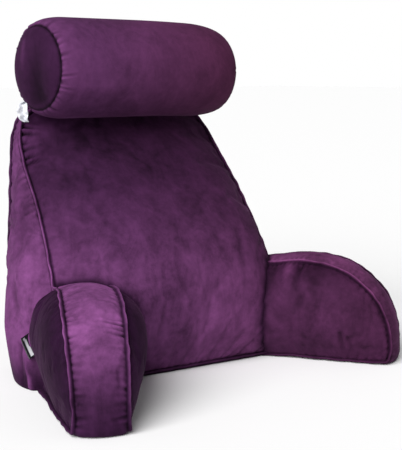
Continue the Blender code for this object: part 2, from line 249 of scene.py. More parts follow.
# How light the pile is painted, from 0 dark to 1 light, at each height: first panel, boxing or tube, second
# panel. Part of it is the way each cut panel's pile lies; the rest is painted light and shade: darker towards
# the floor, a painted shadow under the roll on the back's front panel, lighter on the roll's top, and the two
# arms lit and shaded unlike each other
BACK_PILE_AND_SHADE = (
    ((0.00, 0.52), (0.18, 0.56), (0.28, 0.26), (0.34, 0.14), (0.40, 0.13), (0.45, 0.17)),
    ((0.00, 0.02), (0.02, 0.08), (0.05, 0.42), (0.12, 0.74), (0.20, 0.64), (0.28, 0.44), (0.49, 0.60)),
    ((0.00, 0.30), (0.49, 0.40)),
)
ARM_LEFT_PILE_AND_SHADE = (
    ((0.00, 0.03), (0.19, 0.04)),
    ((0.00, 0.03), (0.03, 0.10), (0.06, 0.20), (0.09, 0.34), (0.13, 0.74), (0.19, 1.00)),
    ((0.00, 0.02), (0.19, 0.03)),
)
ARM_RIGHT_PILE_AND_SHADE = (
    ((0.00, 0.15), (0.05, 0.22), (0.10, 0.28), (0.15, 0.20), (0.19, 0.12)),
    ((0.00, 0.20), (0.10, 0.55), (0.19, 0.70)),
    ((0.00, 0.15), (0.19, 0.25)),
)
ROLL_PILE_AND_SHADE = (((0.46, 0.09),), ((0.46, 0.30), (0.52, 0.42), (0.64, 0.46)), ((0.46, 0.15),))
# the same over a welt, from one row of stitches over the fold to the other: a painted highlight on its fold
# and painted shade at its stitches; and how much of it there is at each height, painted shade that darkens
# the welts towards the floor and towards the top
WELT_PAINTED_HIGHLIGHT_AND_SHADE = (0.04, 0.50, 0.90, 0.90, 0.50, 0.04)
WELT_PAINTED_SHADE_LEVELS = ((0.00, 0.15), (0.06, 0.45), (0.14, 0.90), (0.20, 1.00), (0.30, 0.70), (0.49, 0.50))

# Folds stand on both sides of both seams: cloth and seam number. Then the range of a small
# fold's half width, over what length it grows from the seam, and how it thins out
FOLD_PLACES = (("first", 0), ("strip", 0), ("strip", 1), ("second", 1))
FOLD_HALF_WIDTHS = (0.0022, 0.0040)
FOLD_GROWTH = 0.004
FOLD_TAPER = 1.3
# small folds all along a seam: their spacing, length and depth
BACK_FOLDS = (0.015, 0.024, 0.0012)
ARM_FACE_FOLDS = (0.012, 0.024, 0.0014)
ARM_BAND_FOLDS = (0.0075, 0.040, 0.0013)
ROLL_CAP_FOLDS = (0.013, 0.014, 0.0008)
ROLL_LEFT_FOLDS = (0.0078, 0.034, 0.0028)
ROLL_RIGHT_FOLDS = (0.020, 0.022, 0.0010)
# the seed of each cushion's random draws
BACK_SEED, ARM_RIGHT_SEED, ARM_LEFT_SEED, ROLL_SEED = 11, 100, 200, 300

# Larger folds at a stretch of a seam: where they start and end on the flat outline, then
# spacing, length, depth and slant
BACK_PLEATS = (((-0.225, 0.368), (-0.210, 0.448), 0.0155, 0.050, 0.0060, -0.18),)
BACK_SIDE_WRINKLES = (((-0.231, 0.290), (-0.224, 0.395), 0.0110, 0.034, 0.0024, 0.0),)
LEFT_BAND_INNER = (
    ((0.196, 0.157), (0.214, 0.141), 0.0100, 0.055, 0.0028, 0.10),
    ((0.249, 0.090), (0.257, 0.060), 0.0120, 0.045, 0.0018, 0.00),
    ((0.258, 0.036), (0.258, 0.012), 0.0110, 0.050, 0.0020, 0.00),
)
LEFT_BAND_OUTER = (
    ((0.210, 0.144), (0.234, 0.120), 0.0100, 0.024, 0.0018, 0.00),
    ((0.249, 0.090), (0.257, 0.060), 0.0110, 0.034, 0.0016, 0.00),
    ((0.258, 0.036), (0.258, 0.012), 0.0110, 0.034, 0.0016, 0.00),
)
RIGHT_TOP_PUCKERS = (((0.020, 0.180), (0.115, 0.188), 0.0090, 0.022, 0.0022, 0.20),)

# Soft troughs drawn on a face: points across and up it, half width, depth (a ridge is negative). A trough
# also gets painted shade, a ridge a painted highlight
RIGHT_FACE_LINES = (
    (((0.092, 0.186), (0.087, 0.160), (0.084, 0.120)), 0.0065, 0.0065),
    (((0.070, 0.180), (0.066, 0.150), (0.060, 0.105)), 0.0130, -0.0022),
    (((0.038, 0.178), (0.034, 0.140), (0.040, 0.095)), 0.0120, 0.0055),
    (((0.100, 0.125), (0.085, 0.100), (0.050, 0.100)), 0.0100, 0.0040),
    (((0.130, 0.170), (0.120, 0.145), (0.135, 0.125)), 0.0080, 0.0030),
    (((0.172, 0.060), (0.177, 0.016)), 0.0045, 0.0050),
    (((0.186, 0.052), (0.189, 0.020)), 0.0040, 0.0040),
    (((0.212, 0.030), (0.226, 0.036), (0.238, 0.026)), 0.0040, 0.0035),
    (((0.020, 0.110), (0.060, 0.085), (0.100, 0.080)), 0.012, 0.0024),
)
LEFT_BAND_LINES = (
    (((-0.030, 0.100), (-0.030, 0.060)), 0.004, 0.0022),
)
BACK_SIDE_LINES = (
    (((0.062, 0.400), (0.052, 0.300), (0.046, 0.200)), 0.009, 0.0040),
    (((-0.030, 0.002), (-0.028, 0.012), (-0.018, 0.045), (-0.008, 0.075)), 0.0040, -0.0050),
    (((-0.030, 0.070), (-0.036, 0.040), (-0.044, 0.004)), 0.0060, 0.0050),
    (((0.006, 0.070), (-0.004, 0.036), (-0.012, 0.000)), 0.0060, 0.0060),
    (((0.040, 0.170), (0.020, 0.120), (0.004, 0.080)), 0.0090, 0.0030),
)
BACK_FRONT_LINES = (
    (((-0.170, 0.420), (-0.060, 0.432), (0.080, 0.426)), 0.014, 0.0030),
    (((0.030, 0.150), (0.060, 0.180), (0.090, 0.190)), 0.010, 0.0022),
    (((-0.120, 0.120), (-0.080, 0.150), (-0.020, 0.155)), 0.012, 0.0020),
    (((0.120, 0.250), (0.105, 0.200), (0.115, 0.160)), 0.010, 0.0022),
)
ROLL_CAP_LINES = (
    (((-0.016, -0.052), (-0.020, -0.010), (-0.014, 0.046)), 0.028, 0.0072),
    (((0.020, 0.044), (0.022, 0.010), (0.018, -0.030)), 0.011, -0.0016),
)

# The brushed pile: the shares of patches, streaks and marks in it, the scales of the last two, how far they
# spread, the fibres' share, and the darkest it gets; the least and the most painted shade that a fold gets,
# below zero a painted highlight; how fast and from where a painted warm light grows to the right, and what
# that takes from red, green and blue; its gloss, and its relief's strength and depth
NAP_SHARES = (0.44, 0.36, 0.20)
STREAK_SCALE, MARK_SCALE = 26.0, 90.0
NAP_SPREAD = 4.2
FIBRE_SHARE = 0.55
NAP_DARKEST = 0.25
FOLD_PAINTED_SHADE_RANGE = (-0.30, 0.82)
WARM_LIGHT_PAINT_PLACE = (2.4, 0.35)
WARM_LIGHT_PAINT_LOSSES = (0.40, 0.63, 0.72)
PILE_GLOSS = 0.06
PILE_RELIEF = (0.35, 0.0006)
# of each kind of piece: the scale of its patches, their share of the contrast, and the strength of its
# painted warm light from the right
BACK_PILE = (7.0, 0.85, 0.35)
ARM_PILE = (9.0, 0.85, 0.45)
ROLL_PILE = (6.0, 0.55, 0.9)

# The trim's colours, gloss and relief; and of each weave: roughness, ribs for each metre and
# their contrast
RIBBON_WHITE = (0.60, 0.61, 0.65)
TAB_BLACK = (0.008, 0.008, 0.010)
TAB_PALE = (0.66, 0.66, 0.70)
WEAVE_GLOSS = 0.45
WEAVE_RELIEF = (0.4, 0.0002)
RIBBON_WEAVE = (0.42, 1500.0, 0.25)
TAB_WEAVE = (0.32, 900.0, 0.9)

# The wide soft light's place, to the camera's left; the floor's half width, its depth below
# the pillow and its finish; and the width of the camera's film in millimetres
KEY_PLACE = (-2.6, -1.3, 2.2)
FLOOR_HALF = 40.0
FLOOR_BELOW = 0.0005
FLOOR_GLOSS, FLOOR_ROUGHNESS = 0.1, 0.9
FILM_WIDTH = 36


def smooth_rows(rows, places):
    """Read a short table's columns at the places asked for, on a smooth curve."""
    table = np.array(rows, float)
    keys, values = table[:, 0], table[:, 1:]
    slopes = np.gradient(values, keys, axis=0)
    places = np.clip(np.asarray(places, float), keys[0], keys[-1])
    left = np.clip(np.searchsorted(keys, places) - 1, 0, len(keys) - 2)
    width = keys[left + 1] - keys[left]
    t = ((places - keys[left]) / width)[..., None]
    width = width[..., None]
    rise = t * t * (3 - 2 * t)
    return (
        values[left] * (1 - rise)
        + values[left + 1] * rise
        + slopes[left] * width * t * (1 - t) ** 2
        - slopes[left + 1] * width * t * t * (1 - t)
    )


def closed_curve(points, steps):
    """Run a smooth closed curve through the points and space its steps evenly."""
    points = np.array(points, float)
    fine = 24
    share = np.arange(fine)[:, None] / fine
    rise = share * share * (3 - 2 * share)
    stretches = []
    for i in range(len(points)):
        before, start, end, after = (points[(i + k) % len(points)] for k in (-1, 0, 1, 2))
        span = np.linalg.norm(end - start)
        leave = (end - before) / (np.linalg.norm(start - before) + span) * span
        arrive = (after - start) / (np.linalg.norm(after - end) + span) * span
        stretches.append(
            start * (1 - rise)
            + end * rise
            + leave * share * (1 - share) ** 2
            - arrive * share * share * (1 - share)
        )
    curve = np.concatenate(stretches)
    loop = np.vstack([curve, curve[:1]])
    run = np.concatenate([[0], np.cumsum(np.linalg.norm(np.diff(loop, axis=0), axis=1))])
    at = np.arange(steps) / steps * run[-1]
    return np.stack([np.interp(at, run, loop[:, k]) for k in range(loop.shape[1])], 1)


def unit(vectors):
    """Scale each vector to length one."""
    return vectors / np.maximum(np.linalg.norm(vectors, axis=-1, keepdims=True), 1e-12)


def in_place(x, y, z):
    """A place in the frame, from one whose depth is counted from the base's front edge."""
    return np.array([x, y - BASE_DEPTH / 2, z])


def crown_share(share):
    """How far a panel has swelled, from 0 at its seam to 1 in its middle."""
    return (1 - share ** CROWN_SQUARENESS) ** CROWN_FULLNESS


def side_places(curve, corners, across, up):
    """Where a four-sided loop steps along a dense curve: evenly along each side."""
    starts = [int(np.argmin(np.linalg.norm(curve - np.array(c), axis=1))) for c in corners]
    ends = starts[1:] + [starts[0] + len(curve)]
    places = []
    for start, end, steps in zip(starts, ends, (across, up, across, up)):
        end = start + (end - start) % len(curve)
        places.append(start + (end - start) * np.arange(steps) / steps)
    return np.concatenate(places)


def at_places(curve, places):
    """Points of a closed curve at fractions of its steps."""
    low = np.floor(places).astype(int)
    t = (places - low)[:, None]
    return curve[low % len(curve)] * (1 - t) + curve[(low + 1) % len(curve)] * t


def outward(curve):
    """Give each step of a flat closed curve its unit normal, away from the middle."""
    along = np.roll(curve, -4, axis=0) - np.roll(curve, 4, axis=0)
    normal = unit(np.stack([along[:, 1], -along[:, 0]], 1))
    facing = np.sign(np.sum(normal * (curve - curve.mean(axis=0)), axis=1).sum())
    return normal * facing


def fill_loop(loop, across, up):
    """A grid of points inside a four-sided loop, evenly between its sides."""
    bottom = loop[: across + 1]
    right = loop[across: across + up + 1]
    top = loop[across + up: 2 * across + up + 1][::-1]
    left = np.vstack([loop[2 * across + up:], loop[:1]])[::-1]
    u = np.linspace(0, 1, across + 1)[None, :, None]
    v = np.linspace(0, 1, up + 1)[:, None, None]
    return (
        (1 - v) * bottom[None] + v * top[None]
        + (1 - u) * left[:, None] + u * right[:, None]
        - (1 - u) * (1 - v) * bottom[0] - u * (1 - v) * bottom[-1]
        - (1 - u) * v * top[0] - u * v * top[-1]
    )


def rim(grid):
    """A grid's edge, in the order of the loop that it fills."""
    return np.concatenate([grid[0, :-1], grid[:-1, -1], grid[-1, :0:-1], grid[:0:-1, 0]])


def seam_share(places, curve, middle):
    """How far each flat point lies from the middle to the seam, from 0 to 1."""
    spokes = curve - middle
    turn = np.arctan2(spokes[:, 1], spokes[:, 0])
    order = np.argsort(turn)
    own = places - middle
    reach = np.interp(
        np.arctan2(own[..., 1], own[..., 0]),
        turn[order],
        np.linalg.norm(spokes, axis=1)[order],
        period=2 * math.pi,
    )
    return np.clip(np.linalg.norm(own, axis=-1) / reach, 0, 1)


def finer(points, axis, times, closed=False):
    """Put more points between a grid's points along one axis, on a smooth curve."""
    points = np.moveaxis(points, axis, 0)
    count = len(points)
    places = np.arange(count * times if closed else (count - 1) * times + 1) / times
    low = np.floor(places).astype(int)
    if not closed:
        low = np.minimum(low, count - 2)
    t = (places - low).reshape((-1,) + (1,) * (points.ndim - 1))

    def near(step):
        index = low + step
        return points[index % count] if closed else points[np.clip(index, 0, count - 1)]

    before, start, end, after = (near(step) for step in (-1, 0, 1, 2))
    made = 0.5 * (
        2 * start
        + (end - before) * t
        + (2 * before - 5 * start + 4 * end - after) * t ** 2
        + (3 * start - before - 3 * end + after) * t ** 3
    )
    return np.moveaxis(made, 0, axis)


def grid_faces(ids, closed=False, turned=False):
    """Four-cornered faces over a grid of point numbers."""
    if closed:
        ids = np.concatenate([ids, ids[:, :1]], 1)
    corners = [ids[:-1, :-1], ids[:-1, 1:], ids[1:, 1:], ids[1:, :-1]]
    if turned:
        corners.reverse()
    return np.stack(corners, -1).reshape(-1, 4)


def number_net(net):
    """Number a net's points: first panel, second panel, then the boxing's rows."""
    numbers, count = {}, 0
    for part in ("first", "second", "strip"):
        shape = net[part].shape[:2]
        numbers[part] = count + np.arange(shape[0] * shape[1]).reshape(shape)
        count += shape[0] * shape[1]
    return numbers


def seam_edges(ids):
    """The numbers of a net's points along its seams: two panels' edges, two of the boxing."""
    return rim(ids["first"]), rim(ids["second"]), ids["strip"][0], ids["strip"][-1]


def net_points(net):
    """All points of a net as one list."""
    return np.vstack([net[part].reshape(-1, 3) for part in ("first", "second", "strip")])


def net_faces(net):
    """All faces of a net: two panels, and the boxing with its seams to both."""
    ids = number_net(net)
    rows = np.vstack([rim(ids["first"])[None], ids["strip"], rim(ids["second"])[None]])
    return np.vstack([
        grid_faces(ids["first"]),
        grid_faces(ids["second"], turned=True),
        grid_faces(rows, closed=True, turned=True),
    ])


def split_points(points, net):
    """Put a list of points back in a net's three parts."""
    ids = number_net(net)
    return {part: points[ids[part]] for part in ("first", "second", "strip")}


def cloth_mesh(name, points, faces):
    """A closed mesh over points and faces, its faces turned outward."""
    points = points.copy()
    points[:, 2] = np.maximum(points[:, 2], 0)
    a, b, c, d = (points[faces[:, k]] for k in range(4))
    volume = np.sum(a * np.cross(b, c)) + np.sum(a * np.cross(c, d))
    if volume < 0:
        faces = faces[:, ::-1]
    mesh = bpy.data.meshes.new(name)
    mesh.from_pydata(points.tolist(), [], faces.tolist())
    mesh.validate()
    mesh.update()
    mesh.shade_smooth()
    return mesh


def mesh_points(mesh, kind="co"):
    """A mesh's points, or another row of three that they keep, as an array."""
    values = np.empty(len(mesh.vertices) * 3)
    mesh.vertices.foreach_get(kind, values)
    return values.reshape(-1, 3)


def paint_points(mesh, label, values):
    """Keep a value for each of a mesh's points, for its material."""
    layer = mesh.attributes.get(label) or mesh.attributes.new(label, "FLOAT", "POINT")
    layer.data.foreach_set("value", values.astype(np.float32))


def new_object(context, name, data):
    """An object in the scene, over a mesh, a lamp or a camera."""
    made = bpy.data.objects.new(name, data)
    context.collection.objects.link(made)
    return made


def soften(grid, rounds, closed=False):
    """Average a grid with its neighbours, again and again."""
    for _ in range(rounds):
        for axis in (0, 1):
            if closed and axis == 1:
                before, after = np.roll(grid, 1, 1), np.roll(grid, -1, 1)
            else:
                grown = np.concatenate([grid.take([0], axis), grid, grid.take([-1], axis)], axis)
                count = grid.shape[axis]
                before = grown.take(range(count), axis)
                after = grown.take(range(2, count + 2), axis)
            grid = grid * 0.5 + (before + after) * 0.25
    return grid


def fill_cloth(context, name, net, settings, spare_share=1.0):
    """Fill a sewn cover under pressure and keep the folds that its spare cloth makes."""
    points = net_points(net)
    mesh = cloth_mesh(name + "_filling", points, net_faces(net))
    piece = new_object(context, mesh.name, mesh)
    ids = number_net(net)
    seams = np.concatenate(seam_edges(ids))
    group = piece.vertex_groups.new(name="Seams")
    group.add([int(i) for i in seams], 1.0, "REPLACE")
    cloth = piece.modifiers.new("Filled cover", "CLOTH")
    cover = cloth.settings
    for key, value in COVER_CLOTH.items():
        setattr(cover, key, value)
    cover.bending_stiffness = settings.stiffness
    cover.uniform_pressure_force = settings.pressure
    cover.shrink_min = -settings.spare_cloth * spare_share
    cover.vertex_group_mass = group.name
    cover.effector_weights.gravity = 0
    cloth.collision_settings.use_collision = False
    cloth.point_cache.frame_start = 1
    cloth.point_cache.frame_end = settings.frames
    for number in range(1, settings.frames + 1):
        context.scene.frame_set(number)
    graph = context.evaluated_depsgraph_get()
    filled = mesh_points(piece.evaluated_get(graph).to_mesh())
    bpy.data.objects.remove(piece, do_unlink=True)
    context.scene.frame_set(1)
    moved = split_points(filled - points, net)
    done = {}
    for part, move in moved.items():
        even = soften(move, settings.evening, closed=part == "strip")
        move = move - even * settings.evened
        size = np.linalg.norm(move, axis=-1, keepdims=True)
        done[part] = net[part] + move * np.minimum(1, settings.most_move / np.maximum(size, 1e-9))
    return dict(net, **done)


def refine(net, times):
    """A net with more points between, on smooth curves."""
    done = dict(net)
    for part in ("first", "second"):
        done[part] = finer(finer(net[part], 0, times), 1, times)
    done["strip"] = finer(finer(net["strip"], 0, times), 1, times, closed=True)
    return done


def waver(count, waves, seed):
    """A smooth random line of about one that closes on itself."""
    draw = np.random.default_rng(seed)
    at = np.arange(count) / count * 2 * math.pi
    line = np.zeros(count)
    for wave in range(1, waves + 1):
        line += draw.normal() * np.cos(wave * at + draw.uniform(0, 2 * math.pi))
    return line / math.sqrt(waves)


def loop_run(loop):
    """How far along a closed loop each point is, and the loop's whole length."""
    steps = np.linalg.norm(np.roll(loop, -1, axis=0) - loop, axis=1)
    return np.concatenate([[0], np.cumsum(steps)[:-1]]), steps.sum()


def seam_places(points, loop, reach):
    """For each point: how far along the seam its nearest stitch is, and how far away."""
    run, _ = loop_run(loop)
    along_way = unit(np.roll(loop, -1, axis=0) - np.roll(loop, 1, axis=0))
    tree = KDTree(len(loop))
    for number, point in enumerate(loop):
        tree.insert(point, number)
    tree.balance()
    along, away = np.zeros(len(points)), np.full(len(points), reach * 9)
    low, high = loop.min(0) - reach, loop.max(0) + reach
    close = np.nonzero(np.all((points > low) & (points < high), axis=1))[0]
    for i in close:
        _, number, distance = tree.find(points[i])
        if distance < reach:
            along[i] = run[number] + (points[i] - loop[number]) @ along_way[number]
            away[i] = distance
    return along, away


def pucker(along, away, whole, folds):
    """How deep each point is pressed by folds that leave a seam at right angles or a slant.

    Each fold: where it starts along the seam, half width, length, depth, slant.
    """
    depth = np.zeros(len(along))
    for start, width, length, deep, slant in folds:
        off = (along - start - slant * away + whole / 2) % whole - whole / 2
        x = off / width
        inward = away / length
        near = (np.abs(x) < 3.2) & (inward < 1)
        x, inward = x[near], inward[near]
        fade = np.clip(inward * length / FOLD_GROWTH, 0, 1) * (1 - inward) ** FOLD_TAPER
        depth[near] += deep * (1 - x * x) * np.exp(-x * x / 2) * fade
    return depth


def random_folds(whole, seed, spacing, length, deep, slant=0.25):
    """Folds set irregularly all along a seam."""
    draw = np.random.default_rng(seed)
    folds, at = [], draw.uniform(0, spacing)
    while at < whole:
        size = draw.uniform(0.25, 1.0)
        folds.append((at, draw.uniform(*FOLD_HALF_WIDTHS), length * draw.uniform(0.5, 1.3) * size,
                      deep * size, draw.uniform(-slant, slant)))
        at += spacing * draw.uniform(0.45, 1.6)
    return folds


def spot_folds(seam, spots, seed):
    """Folds at chosen stretches of a seam.

    Each spot: where it starts and ends on the flat outline, spacing, length, depth, slant.
    """
    draw = np.random.default_rng(seed)
    run, whole = loop_run(seam["loop"])
    folds = []
    for start, end, spacing, length, deep, slant in spots:
        first, last = (
            run[int(np.argmin(np.linalg.norm(seam["flat"] - np.array(place), axis=1)))]
            for place in (start, end)
        )
        span = (last - first + whole / 2) % whole - whole / 2
        for k in range(max(1, round(abs(span) / spacing))):
            at = first + math.copysign((k + draw.uniform(0.3, 0.7)) * spacing, span)
            folds.append((at, spacing * draw.uniform(0.24, 0.32), length * draw.uniform(0.65, 1.15),
                          deep * draw.uniform(0.6, 1.1), slant + draw.uniform(-0.1, 0.1)))
    return folds


def cover_folds(seams, seed, sizes, spots):
    """All folds of a cover: at each of its places small ones all along, and those at its spots."""
    folds = {}
    for count, (place, small, own) in enumerate(zip(FOLD_PLACES, sizes, spots)):
        seam = seams[place[1]]
        _, whole = loop_run(seam["loop"])
        folds[place] = random_folds(whole, seed + count, *small) + spot_folds(seam, own, seed + count + 20)
    return folds


def press_lines(points, lines, ways, origin):
    """How deep soft troughs press each point, along lines drawn on a face, and the painted highlight of its
    ridges.
    """
    flat = np.stack([(points - origin) @ way for way in ways], 1)
    depth, painted_highlight = np.zeros(len(points)), np.zeros(len(points))
    for line, width, deep in lines:
        line = np.array(line)
        near, passed = np.full(len(points), 9.0), np.zeros(len(points))
        for number, (start, end) in enumerate(zip(line[:-1], line[1:])):
            step = end - start
            share = np.clip((flat - start) @ step / (step @ step), 0, 1)
            away = np.linalg.norm(flat - start - share[:, None] * step, axis=1)
            passed = np.where(away < near, (number + share) / (len(line) - 1), passed)
            near = np.minimum(near, away)
        pressed = deep * np.exp(-(near / width) ** 2) * (1 - passed ** 2)
        depth += pressed
        painted_highlight = np.maximum(painted_highlight, -pressed * RIDGE_PAINTED_HIGHLIGHT)
    return depth, painted_highlight


def sew(name, net, seams, folds, welt, pile_and_shade_tables, drawn=()):
    """The finished mesh of a cushion: its net, its puckers and the welts over its seams.

    Each seam holds its loop and, where it is pinched to the outside, its tip's way and the way across it.
    Folds are kept by cloth and seam number, pile levels with their painted light and shade by cloth, and what
    is drawn gives a cloth, its lines, two ways across and up it, and their origin. Painted shade goes into
    the seams' edge rows, the folds, the grooves and the drawn troughs, and a painted highlight onto the
    welts' folds and the drawn ridges.
    """
    points = net_points(net)
    ids = number_net(net)
    rows = [rim(ids["first"])[None]]
    rings, pile_and_painted_shade, count = [], np.zeros(len(points)), len(points)
    # the pile's level on each cloth, with painted light and shade by height
    for part, levels in zip(("first", "strip", "second"), pile_and_shade_tables):
        pile_and_painted_shade[ids[part]] = np.interp(net[part][..., 2], *np.array(levels).T)
    # painted shade on the rows of points along each seam
    for edge in seam_edges(ids):
        pile_and_painted_shade[edge] *= SEAM_SHADE
    for side, seam in enumerate(seams):
        if side == 1:
            rows.append(ids["strip"])
        if seam.get("tip") is not None:
            made = welt_rings(seam, welt, flipped=side == 1, seed=side + len(name))
            steps = len(made[0])
            rows.append(count + np.arange(len(made) * steps).reshape(len(made), steps))
            rings.append(np.vstack(made))
            # a painted highlight on each welt's fold, painted shade at its stitches, darker towards the floor
            # and the top
            levels = np.interp(np.array(made)[..., 2], *np.array(WELT_PAINTED_SHADE_LEVELS).T)
            pile_and_painted_shade = np.concatenate([pile_and_painted_shade, (levels * np.array(WELT_PAINTED_HIGHLIGHT_AND_SHADE)[:, None]).ravel()])
            count += len(made) * steps
    rows.append(rim(ids["second"])[None])
    faces = np.vstack([
        grid_faces(ids["first"]),
        grid_faces(ids["second"], turned=True),
        grid_faces(np.vstack(rows), closed=True, turned=True),
    ])
    points = np.vstack([points] + rings)
    mesh = cloth_mesh(name, points, faces)
    normals = mesh_points(mesh, "normal")
    depth, soft, groove = (np.zeros(len(points)) for _ in range(3))
    for part, numbers in (("first", (0,)), ("strip", (0, 1)), ("second", (1,))):
        cloth = ids[part].ravel()
        free = np.ones(len(cloth))
        for number in numbers:
            loop = seams[number]["loop"]
            along, away = seam_places(points[cloth], loop, FOLD_REACH)
            run, whole = loop_run(loop)
            depth[cloth] += pucker(along, away, whole, folds.get((part, number), ()))
            width, unevenness = PLAIN_GROOVE if seams[number].get("tip") is None else WELT_GROOVE
            uneven = 1 + unevenness * waver(len(loop), round(whole / GROOVE_WAVE), number + len(part))
            uneven = np.clip(np.interp(along, run, uneven, period=whole), *GROOVE_RANGE)
            groove[cloth] += uneven * np.exp(-(away / width) ** 2)
            free *= np.clip(away / FREE_OF_SEAM, 0, 1)
        for where, lines, ways, origin in drawn:
            if where == part:
                pressed, painted_highlight = press_lines(points[cloth], lines, ways, origin)
                soft[cloth] += pressed * free
                # a painted highlight on the drawn ridges
                pile_and_painted_shade[cloth] = np.maximum(pile_and_painted_shade[cloth], painted_highlight)
    moved = mesh_points(mesh) - normals * (depth + soft + groove * GROOVE_DEPTH)[:, None]
    moved[:, 2] = np.maximum(moved[:, 2], 0)
    mesh.vertices.foreach_set("co", moved.ravel())
    # painted shade in folds, troughs and grooves; the folds' raised sides get a painted highlight
    shaded = (depth + soft * SOFT_SHADE + groove * GROOVE_SHADE) * 1000
    paint_points(mesh, "fold_painted_shade", shaded)
    paint_points(mesh, "pile_and_painted_shade", pile_and_painted_shade)
    mesh.update()
    return mesh


def welt_rings(seam, welt, flipped, seed):
    """Rings over a seam: its pinched, top-stitched allowance, a little uneven."""
    loop, tip, across = seam["loop"], seam["tip"], seam["across"]
    steps = len(loop)
    _, whole = loop_run(loop)
    lean, rise = (
        waver(steps, round(whole / wave), number)[:, None] * welt.unevenness * share
        for (wave, share), number in ((WELT_LEAN, seed), (WELT_RISE, seed + 50))
    )
    reach = welt.reach + rise
    half = [(welt.base / 2 * base + welt.top / 2 * top, high) for base, top, high in WELT_PROFILE]
    profile = [(-wide, high) for wide, high in half] + half[::-1]
    rings = [loop + tip * reach * high + across * (wide + lean * high) for wide, high in profile]
    return rings[::-1] if flipped else rings


def paint_joint_shadow(piece, neighbour, reach, level, count=None):
    """Paint a shadow into the pile of a piece, or of its first points, beside its joint with another."""
    corners = [tuple(face.vertices) for face in neighbour.polygons]
    tree = BVHTree.FromPolygons([point.co for point in neighbour.vertices], corners)
    points, other = mesh_points(piece), mesh_points(neighbour)
    values = np.empty(len(points), np.float32)
    piece.attributes["pile_and_painted_shade"].data.foreach_get("value", values)
    low, high = other.min(0) - 2 * reach, other.max(0) + 2 * reach
    for i in np.nonzero(np.all((points > low) & (points < high), axis=1)[:count])[0]:
        distance = tree.find_nearest(Vector(points[i]), 2.5 * reach)[3]
        if distance is not None:
            share = math.exp(-(distance / reach) ** 2)
            values[i] += (level - values[i]) * share
    paint_points(piece, "pile_and_painted_shade", values)


def back_lean(height):
    """The front panel's unit normal at a height: forward, and up where it leans back."""
    step = 0.01
    below = smooth_rows(BACK_SECTIONS, height - step)[..., 0]
    above = smooth_rows(BACK_SECTIONS, height + step)[..., 0]
    slope = (above - below) / (2 * step)
    return unit(np.stack([np.zeros_like(slope), -np.ones_like(slope), slope], -1))


def back_panel(flat, share, side):
    """Points of the back's front (0) or rear (1) panel over a flat outline."""
    height = flat[..., 1]
    rear = np.interp(height, (0, REAR_FULL_HEIGHT), REAR_WIDTH_SHARES)
    across = flat[..., 0] * (rear if side else 1)
    row = smooth_rows(BACK_SECTIONS, height)
    skew = BASE_SKEW * across * (1 - height / BACK_HEIGHT)
    seam = np.stack([across, row[..., side] - BASE_DEPTH / 2 - skew, height], -1)
    way = np.array([0.0, 1.0, 0.0]) if side else back_lean(height)
    return seam + way * (row[..., 2 + side] * crown_share(share))[..., None]


def arm_ways():
    """The arm's own directions: forward, aside and up, and its root."""
    forward = np.array([math.sin(ARM_SPLAY), -math.cos(ARM_SPLAY), 0.0])
    aside = np.array([math.cos(ARM_SPLAY), math.sin(ARM_SPLAY), 0.0])
    return forward, aside, np.array([0.0, 0.0, 1.0]), in_place(*ARM_ROOT, 0.0)


def arm_panel(flat, share, side):
    """Points of the right arm's inner (0) or outer (1) face over its flat outline."""
    forward, aside, up, root = arm_ways()
    along, height = flat[..., 0], flat[..., 1]
    low = 1 - height / ARM_HEIGHT
    half = smooth_rows(ARM_WIDTHS, along)[..., 0] * (1 - ARM_FOOT_NARROWINGS[side] * low)
    half = half + ARM_FOOT_SPLAYS[side] * (ARM_LENGTH - along) * low
    swell = 1 + ARM_ROOT_SWELL * (1 - along / ARM_LENGTH)
    swell = swell * (1 - ARM_FOOT_FLATNESS * np.clip(1 - height / ARM_FLAT_BELOW, 0, 1))
    if side:
        low_end, high_end = ARM_PINCH_HEIGHTS
        rise = np.clip((height - low_end) / (high_end - low_end), 0, 1)
        near = np.clip(1 - along / ARM_PINCH_REACH, 0, 1)
        swell = swell * (1 - near * (1 - rise * rise * (3 - 2 * rise)))
    reach = half + ARM_CROWNS[side] * swell * crown_share(share)
    reach = reach * (1 if side else -1)
    return root + along[..., None] * forward + reach[..., None] * aside + height[..., None] * up


def sewn_net(curve, edges, middle, corners, steps, panel, faces, bulge, welt):
    """The net of a cushion with a boxing strip, and its two seams at the finer steps."""
    across, up, rows, times = steps
    curve, middle = np.array(curve), np.array(middle)
    inset = curve - outward(curve) * welt.base * WELT_INSET

    def seam_at(places, side):
        flat = at_places(curve, places)
        loop = panel(flat, np.ones(len(flat)), side)
        face = faces(flat[:, 1], side)
        edge = at_places(edges, places)
        slant = np.clip((loop[:, 2:] - WELT_LEVEL_BELOW) / WELT_LEVEL_BELOW, WELT_LEAST_SLANT, 1)
        return {
            "loop": loop,
            "tip": unit(face + edge * slant),
            "across": unit(edge - face * slant),
            "edge": edge,
            "flat": flat,
        }

    coarse = side_places(curve, corners, across, up)
    net = {}
    for side, part in enumerate(("first", "second")):
        flat = fill_loop(at_places(inset, coarse), across, up)
        share = seam_share(flat, curve, middle)
        net[part] = panel(flat, share, side)
    ends = [seam_at(coarse, side) for side in (0, 1)]
    start, end = (seam["loop"] + seam["across"] * welt.base / 2 for seam in ends)
    shares = np.linspace(0, 1, rows + 1)[:, None, None]
    most, lean = bulge(ends[0]["loop"], ends[1]["loop"])
    swell = most * np.sin(math.pi * shares ** lean) ** BOXING_FULLNESS
    net["strip"] = start * (1 - shares) + end * shares + ends[0]["edge"] * swell
    fine = side_places(curve, corners, across * times, up * times)
    return net, [seam_at(fine, side) for side in (0, 1)]


